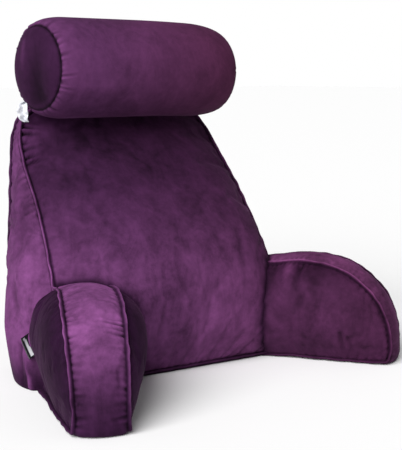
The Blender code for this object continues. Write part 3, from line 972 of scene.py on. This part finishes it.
def back_net(welt):
    """The back cushion's net and seams."""
    right = [(width, height) for height, width in BACK_OUTLINE]
    left = [(-width, height) for width, height in reversed(right[1:-1])]
    curve = closed_curve(right + left, DENSE)
    flat_edges = outward(curve)
    edges = np.stack([flat_edges[:, 0], np.zeros(DENSE), flat_edges[:, 1]], 1)

    def faces(height, side):
        return np.array([[0.0, 1.0, 0.0]]) if side else back_lean(height)

    def bulge(front, rear):
        lean = np.interp(front[:, 2], (0, BACK_EVEN_HEIGHT), (BACK_SWELL_LEAN, 1))
        most = BACK_SWELL * np.sum((rear - front) ** 2, axis=1)
        return most[None, :, None], lean[None, :, None]

    return sewn_net(curve, edges, BACK_MIDDLE, BACK_CORNERS, BACK_STEPS, back_panel, faces, bulge, welt)


def arm_net(welt):
    """The right arm's net and seams."""
    forward, aside, up, _ = arm_ways()
    curve = closed_curve(ARM_OUTLINE, DENSE)
    flat_edges = outward(curve)
    edges = flat_edges[:, :1] * forward + flat_edges[:, 1:] * up

    def faces(height, side):
        return (aside if side else -aside)[None]

    def bulge(inner, outer):
        return ARM_BOXING_BULGE, 1

    return sewn_net(curve, edges, ARM_MIDDLE, ARM_CORNERS, ARM_STEPS, arm_panel, faces, bulge, welt)


def roll_net():
    """The neck roll's net and its two plain seams."""
    across, up, rows, times = ROLL_STEPS
    centre = in_place(*ROLL_CENTRE)

    def circle(steps):
        turn = (np.arange(steps) / steps - 0.375) * 2 * math.pi
        return np.stack([np.cos(turn), np.sin(turn)], 1)

    def droop(place):
        low = np.clip(place / ROLL_SEAM_HALF, 0, 1) ** 2 * ROLL_DROOP
        return centre - np.stack([low * 0, low * 0, low], -1)

    def cap(flat, side):
        share = np.clip(np.linalg.norm(flat, axis=-1), 0, 1)
        reach = (ROLL_SEAM_HALF + ROLL_CAP_CROWN * crown_share(share)) * (1 if side else -1)
        return droop(reach) + np.concatenate([reach[..., None], flat * ROLL_SEAM_RADIUS], -1)

    loop = circle(2 * (across + up))
    flat = fill_loop(loop, across, up)
    net = {"first": cap(flat, 0), "second": cap(flat, 1)}
    strip = []
    for place in -ROLL_SEAM_HALF * np.cos(np.linspace(0, math.pi, rows + 1)):
        shoulder = ROLL_SHOULDERS[0] if place < 0 else ROLL_SHOULDERS[1]
        inward = min((ROLL_SEAM_HALF - abs(place)) / shoulder, 1)
        swell = math.sqrt(max(inward * (2 - inward), 0))
        radius = ROLL_SEAM_RADIUS + (ROLL_RADIUS - ROLL_SEAM_RADIUS) * swell
        strip.append(droop(place) + np.column_stack([np.full(len(loop), place), loop * radius]))
    net["strip"] = np.array(strip)
    fine = circle(2 * (across + up) * times)
    return net, [{"loop": cap(fine, side), "flat": fine} for side in (0, 1)]


class NodeBuilder:
    """Short ways to add and link the nodes of one tree."""

    def __init__(self, tree):
        self.nodes, self.links = tree.nodes, tree.links

    def put(self, socket, value):
        """Link a socket to another, or set it to a number."""
        if isinstance(value, (int, float)):
            socket.default_value = value
        else:
            self.links.new(value, socket)

    def sums(self, operation, one, two, clamp=False):
        """A Math node's result."""
        node = self.nodes.new("ShaderNodeMath")
        node.operation, node.use_clamp = operation, clamp
        self.put(node.inputs[0], one)
        self.put(node.inputs[1], two)
        return node.outputs[0]

    def noise(self, where, scale, detail, roughness, distortion=0.0, stretch=None):
        """A Noise Texture's value."""
        node = self.nodes.new("ShaderNodeTexNoise")
        node.inputs["Detail"].default_value = detail
        node.inputs["Roughness"].default_value = roughness
        node.inputs["Distortion"].default_value = distortion
        if stretch:
            mapping = self.nodes.new("ShaderNodeMapping")
            mapping.inputs["Scale"].default_value = stretch
            self.links.new(where, mapping.inputs["Vector"])
            where = mapping.outputs["Vector"]
        self.links.new(where, node.inputs["Vector"])
        self.put(node.inputs["Scale"], scale)
        return node.outputs["Fac"]

    def painted(self, label):
        """A value that a mesh keeps for each of its points."""
        node = self.nodes.new("ShaderNodeAttribute")
        node.attribute_name = label
        return node.outputs["Fac"]

    def colour(self, *channels):
        """A colour from its red, green and blue."""
        node = self.nodes.new("ShaderNodeCombineColor")
        for socket, value in zip(node.inputs, channels):
            self.put(socket, value)
        return node.outputs["Color"]

    def blend(self, factor, one, two, kind="MIX"):
        """Two colours blended."""
        node = self.nodes.new("ShaderNodeMix")
        node.data_type, node.blend_type = "RGBA", kind
        self.put(node.inputs["Factor"], factor)
        self.links.new(one, node.inputs["A"])
        self.links.new(two, node.inputs["B"])
        return node.outputs["Result"]


def new_group(name, given, made):
    """A node group with its named inputs and outputs, and a builder for its nodes."""
    group = bpy.data.node_groups.new(name, "ShaderNodeTree")
    for label, kind, value in given:
        socket = group.interface.new_socket(label, in_out="INPUT", socket_type=kind)
        socket.default_value = value
    for label, kind in made:
        group.interface.new_socket(label, in_out="OUTPUT", socket_type=kind)
    return group, NodeBuilder(group), group.nodes.new("NodeGroupInput"), group.nodes.new("NodeGroupOutput")


def velvet_nap():
    """The node group for velvet's brushed pile: soft patches, streaks and short fibres, with the mesh's
    painted light and shade, painted shade in folds and a painted warm light growing to the right.
    """
    number, colour = "NodeSocketFloat", "NodeSocketColor"
    group, build, given, out = new_group(
        "Brushed velvet nap",
        (
            ("Deep", colour, (0.03, 0.006, 0.03, 1)),
            ("Light", colour, (0.12, 0.03, 0.12, 1)),
            ("Patch scale", number, 7.0),
            ("Patch contrast", number, 0.6),
            ("Fibre scale", number, 900.0),
            ("Painted fold shade", number, 0.3),
            ("Painted warm light", number, 0.5),
        ),
        (("Colour", colour), ("Roughness", number), ("Height", number)),
    )
    where = build.nodes.new("ShaderNodeTexCoord").outputs["Object"]
    patches = build.noise(where, given.outputs["Patch scale"], 3.0, 0.55, 0.6)
    streaks = build.noise(where, STREAK_SCALE, 4.0, 0.6, 0.8, stretch=(1.0, 1.0, 0.45))
    marks = build.noise(where, MARK_SCALE, 3.0, 0.6)
    fibres = build.noise(where, given.outputs["Fibre scale"], 2.0, 0.6)
    parts = [build.sums("MULTIPLY", *pair) for pair in zip((patches, streaks, marks), NAP_SHARES)]
    mixed = build.sums("ADD", build.sums("ADD", parts[0], parts[1]), parts[2])
    spread = build.sums("MULTIPLY", build.sums("SUBTRACT", mixed, 0.5), NAP_SPREAD)
    spread = build.sums("MULTIPLY", spread, given.outputs["Patch contrast"])
    grain = build.sums("MULTIPLY", build.sums("SUBTRACT", fibres, 0.5), FIBRE_SHARE)
    brushed = build.sums("ADD", build.sums("ADD", spread, grain), 1.0)
    brushed = build.sums("MAXIMUM", brushed, NAP_DARKEST)
    pile_and_painted_shade = build.sums("MAXIMUM", build.painted("pile_and_painted_shade"), 0.0, clamp=True)
    pile = build.blend(pile_and_painted_shade, given.outputs["Deep"], given.outputs["Light"])
    # painted shade in folds and grooves, and a painted highlight where it falls below zero
    pressed = build.sums("MULTIPLY", build.painted("fold_painted_shade"), given.outputs["Painted fold shade"])
    least, most = FOLD_PAINTED_SHADE_RANGE
    pressed = build.sums("MINIMUM", build.sums("MAXIMUM", pressed, least), most)
    seen = build.sums("MULTIPLY", brushed, build.sums("SUBTRACT", 1.0, pressed))
    apart = build.nodes.new("ShaderNodeSeparateXYZ")
    build.links.new(where, apart.inputs[0])
    # a painted warm light that grows to the right
    rise, start = WARM_LIGHT_PAINT_PLACE
    rightward = build.sums("ADD", build.sums("MULTIPLY", apart.outputs["X"], rise), start, clamp=True)
    warm_light_paint = build.sums("MULTIPLY", rightward, given.outputs["Painted warm light"])
    tint = (build.sums("SUBTRACT", 1.0, build.sums("MULTIPLY", warm_light_paint, loss)) for loss in WARM_LIGHT_PAINT_LOSSES)
    pile = build.blend(1.0, pile, build.colour(*tint), "MULTIPLY")
    result = build.blend(1.0, pile, build.colour(seen, seen, seen), "MULTIPLY")
    build.links.new(result, out.inputs["Colour"])
    rough = build.sums("ADD", build.sums("MULTIPLY", brushed, -0.10), 0.95, clamp=True)
    build.links.new(rough, out.inputs["Roughness"])
    height = build.sums("ADD", fibres, build.sums("MULTIPLY", marks, 0.6))
    build.links.new(build.sums("ADD", height, build.sums("MULTIPLY", streaks, 0.8)), out.inputs["Height"])
    return group


def ribbon_weave():
    """The node group for a narrow weave: ribs across, a fine grain and a little soiling."""
    number = "NodeSocketFloat"
    group, build, given, out = new_group(
        "Ribbon weave",
        (("Ribs for each metre", number, 1600.0), ("Contrast", number, 0.3)),
        (("Shade", number), ("Height", number)),
    )
    where = build.nodes.new("ShaderNodeTexCoord").outputs["Object"]
    ribs = build.noise(where, given.outputs["Ribs for each metre"], 1.0, 0.5, 0.0, stretch=(1.0, 0.25, 1.0))
    cloudy = build.noise(where, 60.0, 2.0, 0.5)
    both = build.sums("ADD", build.sums("MULTIPLY", ribs, 0.6), build.sums("MULTIPLY", cloudy, 0.4))
    shade = build.sums("MULTIPLY", build.sums("SUBTRACT", both, 0.5), given.outputs["Contrast"])
    build.links.new(build.sums("ADD", shade, 1.0), out.inputs["Shade"])
    build.links.new(ribs, out.inputs["Height"])
    return group


def group_in(build, name, make):
    """Place a shared node group in a material, made at its first use."""
    node = build.nodes.new("ShaderNodeGroup")
    node.node_tree = bpy.data.node_groups.get(name) or make()
    return node


def add_bump(build, height, shader, strength, distance):
    """Give a shader its fine relief."""
    bump = build.nodes.new("ShaderNodeBump")
    bump.inputs["Strength"].default_value = strength
    bump.inputs["Distance"].default_value = distance
    build.links.new(height, bump.inputs["Height"])
    build.links.new(bump.outputs["Normal"], shader.inputs["Normal"])


def new_material(name, gloss):
    """A new material, the builder for its nodes, and its shader with its gloss set."""
    material = bpy.data.materials.new(name)
    material.use_nodes = True
    build = NodeBuilder(material.node_tree)
    shader = build.nodes["Principled BSDF"]
    shader.inputs["Specular IOR Level"].default_value = gloss
    return material, build, shader


def velvet(name, settings, patch_scale, patches, warm_light_paint):
    """A velvet material for one kind of piece."""
    material, build, shader = new_material(name, PILE_GLOSS)
    shader.inputs["Sheen Weight"].default_value = settings.sheen
    shader.inputs["Sheen Roughness"].default_value = settings.sheen_roughness
    shader.inputs["Sheen Tint"].default_value = (*settings.sheen_colour, 1)
    pile_and_painted_shade = group_in(build, "Brushed velvet nap", velvet_nap)
    pile_and_painted_shade.inputs["Deep"].default_value = (*settings.deep, 1)
    pile_and_painted_shade.inputs["Light"].default_value = (*settings.light, 1)
    pile_and_painted_shade.inputs["Patch scale"].default_value = patch_scale
    pile_and_painted_shade.inputs["Patch contrast"].default_value = settings.patch_contrast * patches
    pile_and_painted_shade.inputs["Painted fold shade"].default_value = settings.painted_fold_shade
    pile_and_painted_shade.inputs["Painted warm light"].default_value = warm_light_paint
    build.links.new(pile_and_painted_shade.outputs["Colour"], shader.inputs["Base Color"])
    build.links.new(pile_and_painted_shade.outputs["Roughness"], shader.inputs["Roughness"])
    add_bump(build, pile_and_painted_shade.outputs["Height"], shader, *PILE_RELIEF)
    return material


def woven(name, ground, patch, roughness, ribs, contrast):
    """A ribbon or tab material: its ground, and a paler patch where the mesh is painted."""
    material, build, shader = new_material(name, WEAVE_GLOSS)
    shader.inputs["Roughness"].default_value = roughness
    weave = group_in(build, "Ribbon weave", ribbon_weave)
    weave.inputs["Ribs for each metre"].default_value = ribs
    weave.inputs["Contrast"].default_value = contrast
    colours = []
    for value in (ground, patch):
        flat = build.nodes.new("ShaderNodeRGB")
        flat.outputs[0].default_value = (*value, 1)
        colours.append(flat.outputs[0])
    both = build.blend(build.painted("pale_patch"), *colours)
    shade = build.colour(*[weave.outputs["Shade"]] * 3)
    build.links.new(build.blend(1.0, both, shade, "MULTIPLY"), shader.inputs["Base Color"])
    add_bump(build, weave.outputs["Height"], shader, *WEAVE_RELIEF)
    return material


def worked_mesh(context, piece, *helpers):
    """The mesh that a piece's modifiers make. The piece and its helpers are then taken away."""
    graph = context.evaluated_depsgraph_get()
    done = bpy.data.meshes.new_from_object(piece.evaluated_get(graph))
    if not done.polygons:
        raise RuntimeError(f"nothing is left of {piece.data.name} after its modifiers")
    for made in (piece, *helpers):
        bpy.data.objects.remove(made, do_unlink=True)
    done.shade_smooth()
    return done


def thick_sheet(context, name, grid, thickness, pale=None):
    """A closed thin mesh over a grid of points, with its pale places painted."""
    ids = np.arange(grid.shape[0] * grid.shape[1]).reshape(grid.shape[:2])
    mesh = bpy.data.meshes.new(name)
    mesh.from_pydata(grid.reshape(-1, 3).tolist(), [], grid_faces(ids).tolist())
    paint_points(mesh, "pale_patch", np.zeros(ids.size) if pale is None else pale.ravel())
    piece = new_object(context, name, mesh)
    body = piece.modifiers.new("Thickness", "SOLIDIFY")
    body.thickness, body.offset = thickness, 0
    done = worked_mesh(context, piece)
    bpy.data.meshes.remove(mesh)
    done.name = name
    return done


def add_piece(context, name, mesh, material, node):
    """Put a piece in the scene in place of its solid."""
    piece = new_object(context, name, mesh)
    mesh.materials.clear()
    mesh.materials.append(material)
    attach(piece, "root")
    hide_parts(node)
    return piece


def cut_away(context, mesh, neighbour, gap):
    """Cut a mesh back to where it lies against the piece of that name."""
    grown = bpy.data.objects[neighbour].data.copy()
    points = mesh_points(grown) + mesh_points(grown, "normal") * gap
    grown.vertices.foreach_set("co", points.ravel())
    grown.update()
    piece, cutter = new_object(context, "cut", mesh), new_object(context, "cutter", grown)
    cut = piece.modifiers.new("Seat", "BOOLEAN")
    cut.operation, cut.solver, cut.object = "DIFFERENCE", "MANIFOLD", cutter
    done = worked_mesh(context, piece, cutter)
    bpy.data.meshes.remove(grown)
    done.name = mesh.name
    return done


class CoverSettings(bpy.types.PropertyGroup):
    """How the cushions are filled."""

    pressure: FloatProperty(name="Pressure", description="How hard the filling presses", default=4.0)
    stiffness: FloatProperty(name="Stiffness", description="How much the velvet resists bending", default=1.5)
    spare_cloth: FloatProperty(
        name="Spare cloth", description="Cloth cut larger than the shape, as a share", default=0.03,
        subtype="FACTOR")
    most_move: FloatProperty(
        name="Most move", description="The furthest that a point may move", default=0.022, subtype="DISTANCE")
    frames: IntProperty(name="Frames", description="Steps of the filling", default=20)
    evening: IntProperty(
        name="Evening", description="Rounds that find the even part of the swelling", default=60)
    evened: FloatProperty(
        name="Evened", description="Share of the even swelling that is taken off", default=0.85,
        subtype="FACTOR")


class WeltSettings(bpy.types.PropertyGroup):
    """The pinched seam allowance."""

    reach: FloatProperty(name="Reach", description="How far it stands up", default=0.0062, subtype="DISTANCE")
    base: FloatProperty(
        name="Base", description="Its width at the stitches", default=0.0062, subtype="DISTANCE")
    top: FloatProperty(name="Top", description="Its width at the fold", default=0.0030, subtype="DISTANCE")
    unevenness: FloatProperty(
        name="Unevenness", description="How far it wavers", default=0.0012, subtype="DISTANCE")


class VelvetSettings(bpy.types.PropertyGroup):
    """Velvet's colours and sheen."""

    # the two ends that the pile's level, with its painted light and shade, blends between
    deep: FloatVectorProperty(
        name="Deep", description="Pile brushed away", subtype="COLOR", default=(0.0130, 0.0024, 0.0145))
    light: FloatVectorProperty(
        name="Light", description="Pile brushed towards", subtype="COLOR", default=(0.172, 0.052, 0.168))
    sheen: FloatProperty(
        name="Sheen", description="Strength of the pile's rim light", default=0.06, subtype="FACTOR")
    sheen_roughness: FloatProperty(
        name="Sheen spread", description="How wide the sheen is", default=0.38, subtype="FACTOR")
    sheen_colour: FloatVectorProperty(
        name="Sheen colour", description="Colour of the sheen", subtype="COLOR", default=(0.62, 0.25, 0.58))
    patch_contrast: FloatProperty(name="Patches", description="Contrast of the brushed patches", default=1.15)
    # painted shade in puckers and grooves, and a painted highlight on their raised sides
    painted_fold_shade: FloatProperty(
        name="Painted fold shade", description="Darkening for each mm of a pucker", default=0.22)


class StageSettings(bpy.types.PropertyGroup):
    """Camera, lights and floor."""

    azimuth: FloatProperty(
        name="Azimuth", description="Camera's turn round the pillow", default=math.radians(-41.0),
        unit="ROTATION")
    elevation: FloatProperty(
        name="Elevation", description="Camera's height angle", default=math.radians(7.8), unit="ROTATION")
    distance: FloatProperty(name="Distance", description="Camera's distance", default=2.0, subtype="DISTANCE")
    target: FloatVectorProperty(
        name="Target", description="What the camera looks at", subtype="XYZ", default=(0.039, -0.100, 0.265))
    lens: FloatProperty(name="Lens", description="Focal length in millimetres", default=87.2, unit="CAMERA")
    key: FloatProperty(name="Key light", description="Strength of the wide light from the left", default=4.6)
    key_width: FloatProperty(
        name="Key width", description="How wide the key light spreads", default=math.radians(50.0),
        unit="ROTATION")
    sky: FloatProperty(name="Sky", description="Light from the white surround", default=0.22)
    paper: FloatProperty(name="Paper", description="Brightness of the white backdrop", default=1.0)
    floor: FloatVectorProperty(
        name="Floor", description="Colour of the floor", subtype="COLOR", default=(0.98, 0.98, 0.98))


class PILLOW_OT_back(bpy.types.Operator):
    """Sew and fill the back cushion."""

    bl_idname = "pillow.back"
    bl_label = "Back cushion"

    def execute(self, context):
        scene = context.scene
        welt, look = scene.pillow_welt, scene.pillow_velvet
        net, seams = back_net(welt)
        net = refine(fill_cloth(context, "back", net, scene.pillow_cover), BACK_STEPS[3])
        spots = (BACK_PLEATS, BACK_SIDE_WRINKLES, (), ())
        folds = cover_folds(seams, BACK_SEED, [BACK_FOLDS] * 4, spots)
        x, y, z = np.eye(3)
        drawn = [
            ("first", BACK_FRONT_LINES, (x, z), np.zeros(3)),
            ("strip", BACK_SIDE_LINES, (y, z), np.zeros(3)),
        ]
        mesh = sew("back_cushion_velvet", net, seams, folds, welt, BACK_PILE_AND_SHADE, drawn)
        material = velvet("Back velvet", look, *BACK_PILE)
        piece = add_piece(context, "back_cushion_velvet", mesh, material, "back_cushion")
        return {"FINISHED"}


class PILLOW_OT_arms(bpy.types.Operator):
    """Sew and fill the two arms, and cut their roots to lie against the back."""

    bl_idname = "pillow.arms"
    bl_label = "Arms"

    def execute(self, context):
        scene = context.scene
        welt, look = scene.pillow_welt, scene.pillow_velvet
        net, seams = arm_net(welt)
        net = refine(fill_cloth(context, "arm", net, scene.pillow_cover, ARM_SPARE_CLOTH), ARM_STEPS[3])
        material = velvet("Arm velvet", look, *ARM_PILE)
        back = bpy.data.objects["back_cushion_velvet"].data
        sizes = (ARM_FACE_FOLDS, ARM_BAND_FOLDS, ARM_BAND_FOLDS, ARM_FACE_FOLDS)
        forward, aside, up, root = arm_ways()
        sides = (
            ("arm_right", 1, ARM_RIGHT_SEED, ARM_RIGHT_PILE_AND_SHADE, (RIGHT_TOP_PUCKERS, RIGHT_TOP_PUCKERS, (), ()),
             ("first", RIGHT_FACE_LINES, forward)),
            ("arm_left", -1, ARM_LEFT_SEED, ARM_LEFT_PILE_AND_SHADE, ((), LEFT_BAND_INNER, LEFT_BAND_OUTER, ()),
             ("strip", LEFT_BAND_LINES, aside)),
        )
        for node, mirror, seed, pile_and_shade_tables, spots, (where, lines, way) in sides:
            flip = np.array([mirror, 1.0, 1.0])
            own = {part: net[part] * flip for part in ("first", "second", "strip")}
            ends = [
                {key: value if key == "flat" else value * flip for key, value in seam.items()}
                for seam in seams
            ]
            folds = cover_folds(ends, seed, sizes, spots)
            drawn = [(where, lines, (way * flip, up), root * flip)]
            mesh = sew(node + "_velvet", own, ends, folds, welt, pile_and_shade_tables, drawn)
            mesh = cut_away(context, mesh, "back_cushion_velvet", CUSHION_GAP)
            piece = add_piece(context, node + "_velvet", mesh, material, node)
            across, up_steps, _, times = BACK_STEPS
            front = (across * times + 1) * (up_steps * times + 1)
            # a painted shadow on the back's front panel beside the arm, and on the arm along its joint
            paint_joint_shadow(back, mesh, *BACK_ARM_PAINTED_SHADOW, front)
            paint_joint_shadow(mesh, back, *ARM_JOINT_PAINTED_SHADOW)
        return {"FINISHED"}


class PILLOW_OT_roll(bpy.types.Operator):
    """Sew and fill the neck roll, gathered at its ends."""

    bl_idname = "pillow.roll"
    bl_label = "Neck roll"

    def execute(self, context):
        scene = context.scene
        look = scene.pillow_velvet
        net, seams = roll_net()
        net = refine(fill_cloth(context, "roll", net, scene.pillow_cover), ROLL_STEPS[3])
        sizes = (ROLL_CAP_FOLDS, ROLL_LEFT_FOLDS, ROLL_RIGHT_FOLDS, ROLL_CAP_FOLDS)
        folds = cover_folds(seams, ROLL_SEED, sizes, [()] * 4)
        _, y, z = np.eye(3)
        drawn = [(part, ROLL_CAP_LINES, (y, z), in_place(*ROLL_CENTRE)) for part in ("first", "second")]
        mesh = sew("neck_roll_velvet", net, seams, folds, scene.pillow_welt, ROLL_PILE_AND_SHADE, drawn)
        mesh = cut_away(context, mesh, "back_cushion_velvet", CUSHION_GAP)
        material = velvet("Roll velvet", look, *ROLL_PILE)
        piece = add_piece(context, "neck_roll_velvet", mesh, material, "neck_roll")
        return {"FINISHED"}


class PILLOW_OT_trim(bpy.types.Operator):
    """Add the crumpled ribbon at the roll's end and the bare tab in the left arm's joint."""

    bl_idname = "pillow.trim"
    bl_label = "Strap and tab"

    def execute(self, context):
        self.add_strap(context)
        self.add_tab(context)
        return {"FINISHED"}

    def add_strap(self, context):
        """The ribbon: fluted along its length and crumpled between its ends."""
        numbered = np.column_stack([np.arange(len(STRAP_PATH)), np.array(STRAP_PATH)])
        line = smooth_rows(numbered, np.linspace(*STRAP_SHOWN, STRAP_ALONG))
        rightward = np.array([*STRAP_RIGHTWARD, 0.0])
        proud = np.array([STRAP_RIGHTWARD[1], -STRAP_RIGHTWARD[0], 0.0])
        middle = in_place(*STRAP_MIDDLE, 0.0)
        at = np.linspace(0, 1, STRAP_ALONG)[:, None]
        open_share = np.sin(math.pi * at) ** 0.6
        width = STRAP_WIDTH * (STRAP_DRAWN + (1 - STRAP_DRAWN) * open_share)
        columns = []
        for share in np.linspace(0, 1, STRAP_ACROSS):
            flute = STRAP_FLUTE * math.sin(2 * math.pi * STRAP_FLUTES * share + 0.5)
            creases = sum(
                size * np.sin(2 * math.pi * (waves * at + slant * share + begin))
                for waves, slant, begin, size in STRAP_CREASES
            )
            across = line[:, :1] + (share - 0.5) * width + STRAP_TUCK * (1 - open_share)
            lift = line[:, 1:2] + flute + STRAP_CRUMPLE * creases
            columns.append(middle + rightward * across + proud * lift + line[:, 2:] * [0, 0, 1])
        grid = np.stack(columns, 1)
        mesh = thick_sheet(context, "roll_strap_ribbon", grid, STRAP_THICKNESS)
        for neighbour in ("back_cushion_velvet", "neck_roll_velvet"):
            mesh = cut_away(context, mesh, neighbour, TRIM_GAP)
        material = woven("White ribbon", RIBBON_WHITE, RIBBON_WHITE, *RIBBON_WEAVE)
        strap = add_piece(context, "roll_strap_ribbon", mesh, material, "roll_strap")

    def add_tab(self, context):
        """The folded tab: two layers with their fold outside, bowed a little."""
        top, foot = np.array(LABEL_TOP), np.array(LABEL_FOOT)
        out = unit(np.array(LABEL_OUT))
        proud = unit(np.cross(foot - top, out))
        along = np.linspace(0, 1, TAB_ALONG)[:, None]
        leg = LABEL_ROOT + LABEL_REACH
        path = []
        for share in np.linspace(-1, 1, TAB_ROUND):
            away = min((1 - abs(share)) * 2 * (leg + TAB_GAP), leg)
            lift = np.clip(share * TAB_ROUND / 3, -1, 1) * TAB_GAP
            path.append((away - LABEL_ROOT, lift))
        path = np.array(path)
        grid = np.zeros((TAB_ALONG, TAB_ROUND, 3))
        bow = TAB_BOW * np.sin(math.pi * along)
        for column, (away, lift) in enumerate(path):
            curl = max(away, 0) / LABEL_REACH
            start = top + (foot - top) * along
            grid[:, column] = start + out * away + proud * (lift + (bow - TAB_CURL * (1 - along)) * curl ** 2)
        rows, columns = np.meshgrid(along[:, 0], path[:, 0] / LABEL_REACH, indexing="ij")
        start, end = (place - turn * rows for place, turn in zip(STRIP_OUT, STRIP_TURNS))
        strip = (rows > STRIP_ALONG[0]) & (rows < STRIP_ALONG[1]) & (columns > start) & (columns < end)
        pale = strip * (STRIP_TOP + (1 - STRIP_TOP) * rows)
        mesh = thick_sheet(context, "side_label_tab", grid, TAB_THICKNESS, pale)
        for neighbour in ("back_cushion_velvet", "arm_left_velvet"):
            mesh = cut_away(context, mesh, neighbour, TRIM_GAP)
        material = woven("Black tab", TAB_BLACK, TAB_PALE, *TAB_WEAVE)
        tab = add_piece(context, "side_label_tab", mesh, material, "side_label")


def aim(piece, target):
    """Turn a camera or lamp towards a point."""
    way = Vector(target) - piece.location
    piece.rotation_euler = way.to_track_quat("-Z", "Y").to_euler()


class PILLOW_OT_stage(bpy.types.Operator):
    """Set the floor, the soft lights and the camera."""

    bl_idname = "pillow.stage"
    bl_label = "Stage"

    def execute(self, context):
        scene = context.scene
        stage = scene.pillow_stage
        mesh = bpy.data.meshes.new("floor")
        corners = [(x * FLOOR_HALF, y * FLOOR_HALF, 0) for x, y in ((-1, -1), (1, -1), (1, 1), (-1, 1))]
        mesh.from_pydata(corners, [], [(0, 1, 2, 3)])
        floor = new_object(context, "floor", mesh)
        floor.location.z = -FLOOR_BELOW
        paint, _, shader = new_material("Floor", FLOOR_GLOSS)
        shader.inputs["Base Color"].default_value = (*stage.floor, 1)
        shader.inputs["Roughness"].default_value = FLOOR_ROUGHNESS
        mesh.materials.append(paint)

        target = Vector(stage.target)
        key = bpy.data.lights.new("Key light", "SUN")
        key.energy, key.angle = stage.key, stage.key_width
        lamp = new_object(context, "Key light", key)
        lamp.location = KEY_PLACE
        aim(lamp, target)
        world = bpy.data.worlds.new("Surround")
        world.use_nodes = True
        nodes, links = world.node_tree.nodes, world.node_tree.links
        light, backdrop = nodes["Background"], nodes.new("ShaderNodeBackground")
        for shade, strength in ((light, stage.sky), (backdrop, stage.paper)):
            shade.inputs["Color"].default_value = (1, 1, 1, 1)
            shade.inputs["Strength"].default_value = strength
        seen, either = nodes.new("ShaderNodeLightPath"), nodes.new("ShaderNodeMixShader")
        links.new(seen.outputs["Is Camera Ray"], either.inputs[0])
        links.new(light.outputs[0], either.inputs[1])
        links.new(backdrop.outputs[0], either.inputs[2])
        links.new(either.outputs[0], nodes["World Output"].inputs["Surface"])
        scene.world = world

        data = bpy.data.cameras.new("Camera")
        data.lens = stage.lens
        data.sensor_width = FILM_WIDTH
        camera = new_object(context, "Camera", data)
        level, turn = math.cos(stage.elevation), stage.azimuth
        back = Vector((math.sin(turn) * level, -math.cos(turn) * level, math.sin(stage.elevation)))
        camera.location = target + back * stage.distance
        aim(camera, target)
        scene.camera = camera
        scene.view_settings.view_transform = "Standard"
        return {"FINISHED"}


class PILLOW_PT_panel(bpy.types.Panel):
    """Lists the pillow's operators."""

    bl_idname = "PILLOW_PT_panel"
    bl_label = "Backrest pillow"
    bl_space_type = "VIEW_3D"
    bl_region_type = "UI"
    bl_category = "Pillow"

    def draw(self, context):
        for operator in OPERATORS:
            self.layout.operator(operator.bl_idname)


SETTINGS = (
    ("pillow_cover", CoverSettings),
    ("pillow_welt", WeltSettings),
    ("pillow_velvet", VelvetSettings),
    ("pillow_stage", StageSettings),
)
OPERATORS = (PILLOW_OT_back, PILLOW_OT_arms, PILLOW_OT_roll, PILLOW_OT_trim, PILLOW_OT_stage)


def register():
    """Register the settings, the operators and the panel."""
    for name, group in SETTINGS:
        bpy.utils.register_class(group)
        setattr(bpy.types.Scene, name, PointerProperty(type=group))
    for made in OPERATORS + (PILLOW_PT_panel,):
        bpy.utils.register_class(made)


def unregister():
    """Take them out again, last first."""
    for made in reversed(OPERATORS + (PILLOW_PT_panel,)):
        bpy.utils.unregister_class(made)
    for name, group in reversed(SETTINGS):
        delattr(bpy.types.Scene, name)
        bpy.utils.unregister_class(group)


def main():
    """Register the add-on and build every piece in order."""
    register()
    bpy.ops.pillow.back()
    bpy.ops.pillow.arms()
    bpy.ops.pillow.roll()
    bpy.ops.pillow.trim()
    bpy.ops.pillow.stage()


if __name__ == "__main__":
    main()
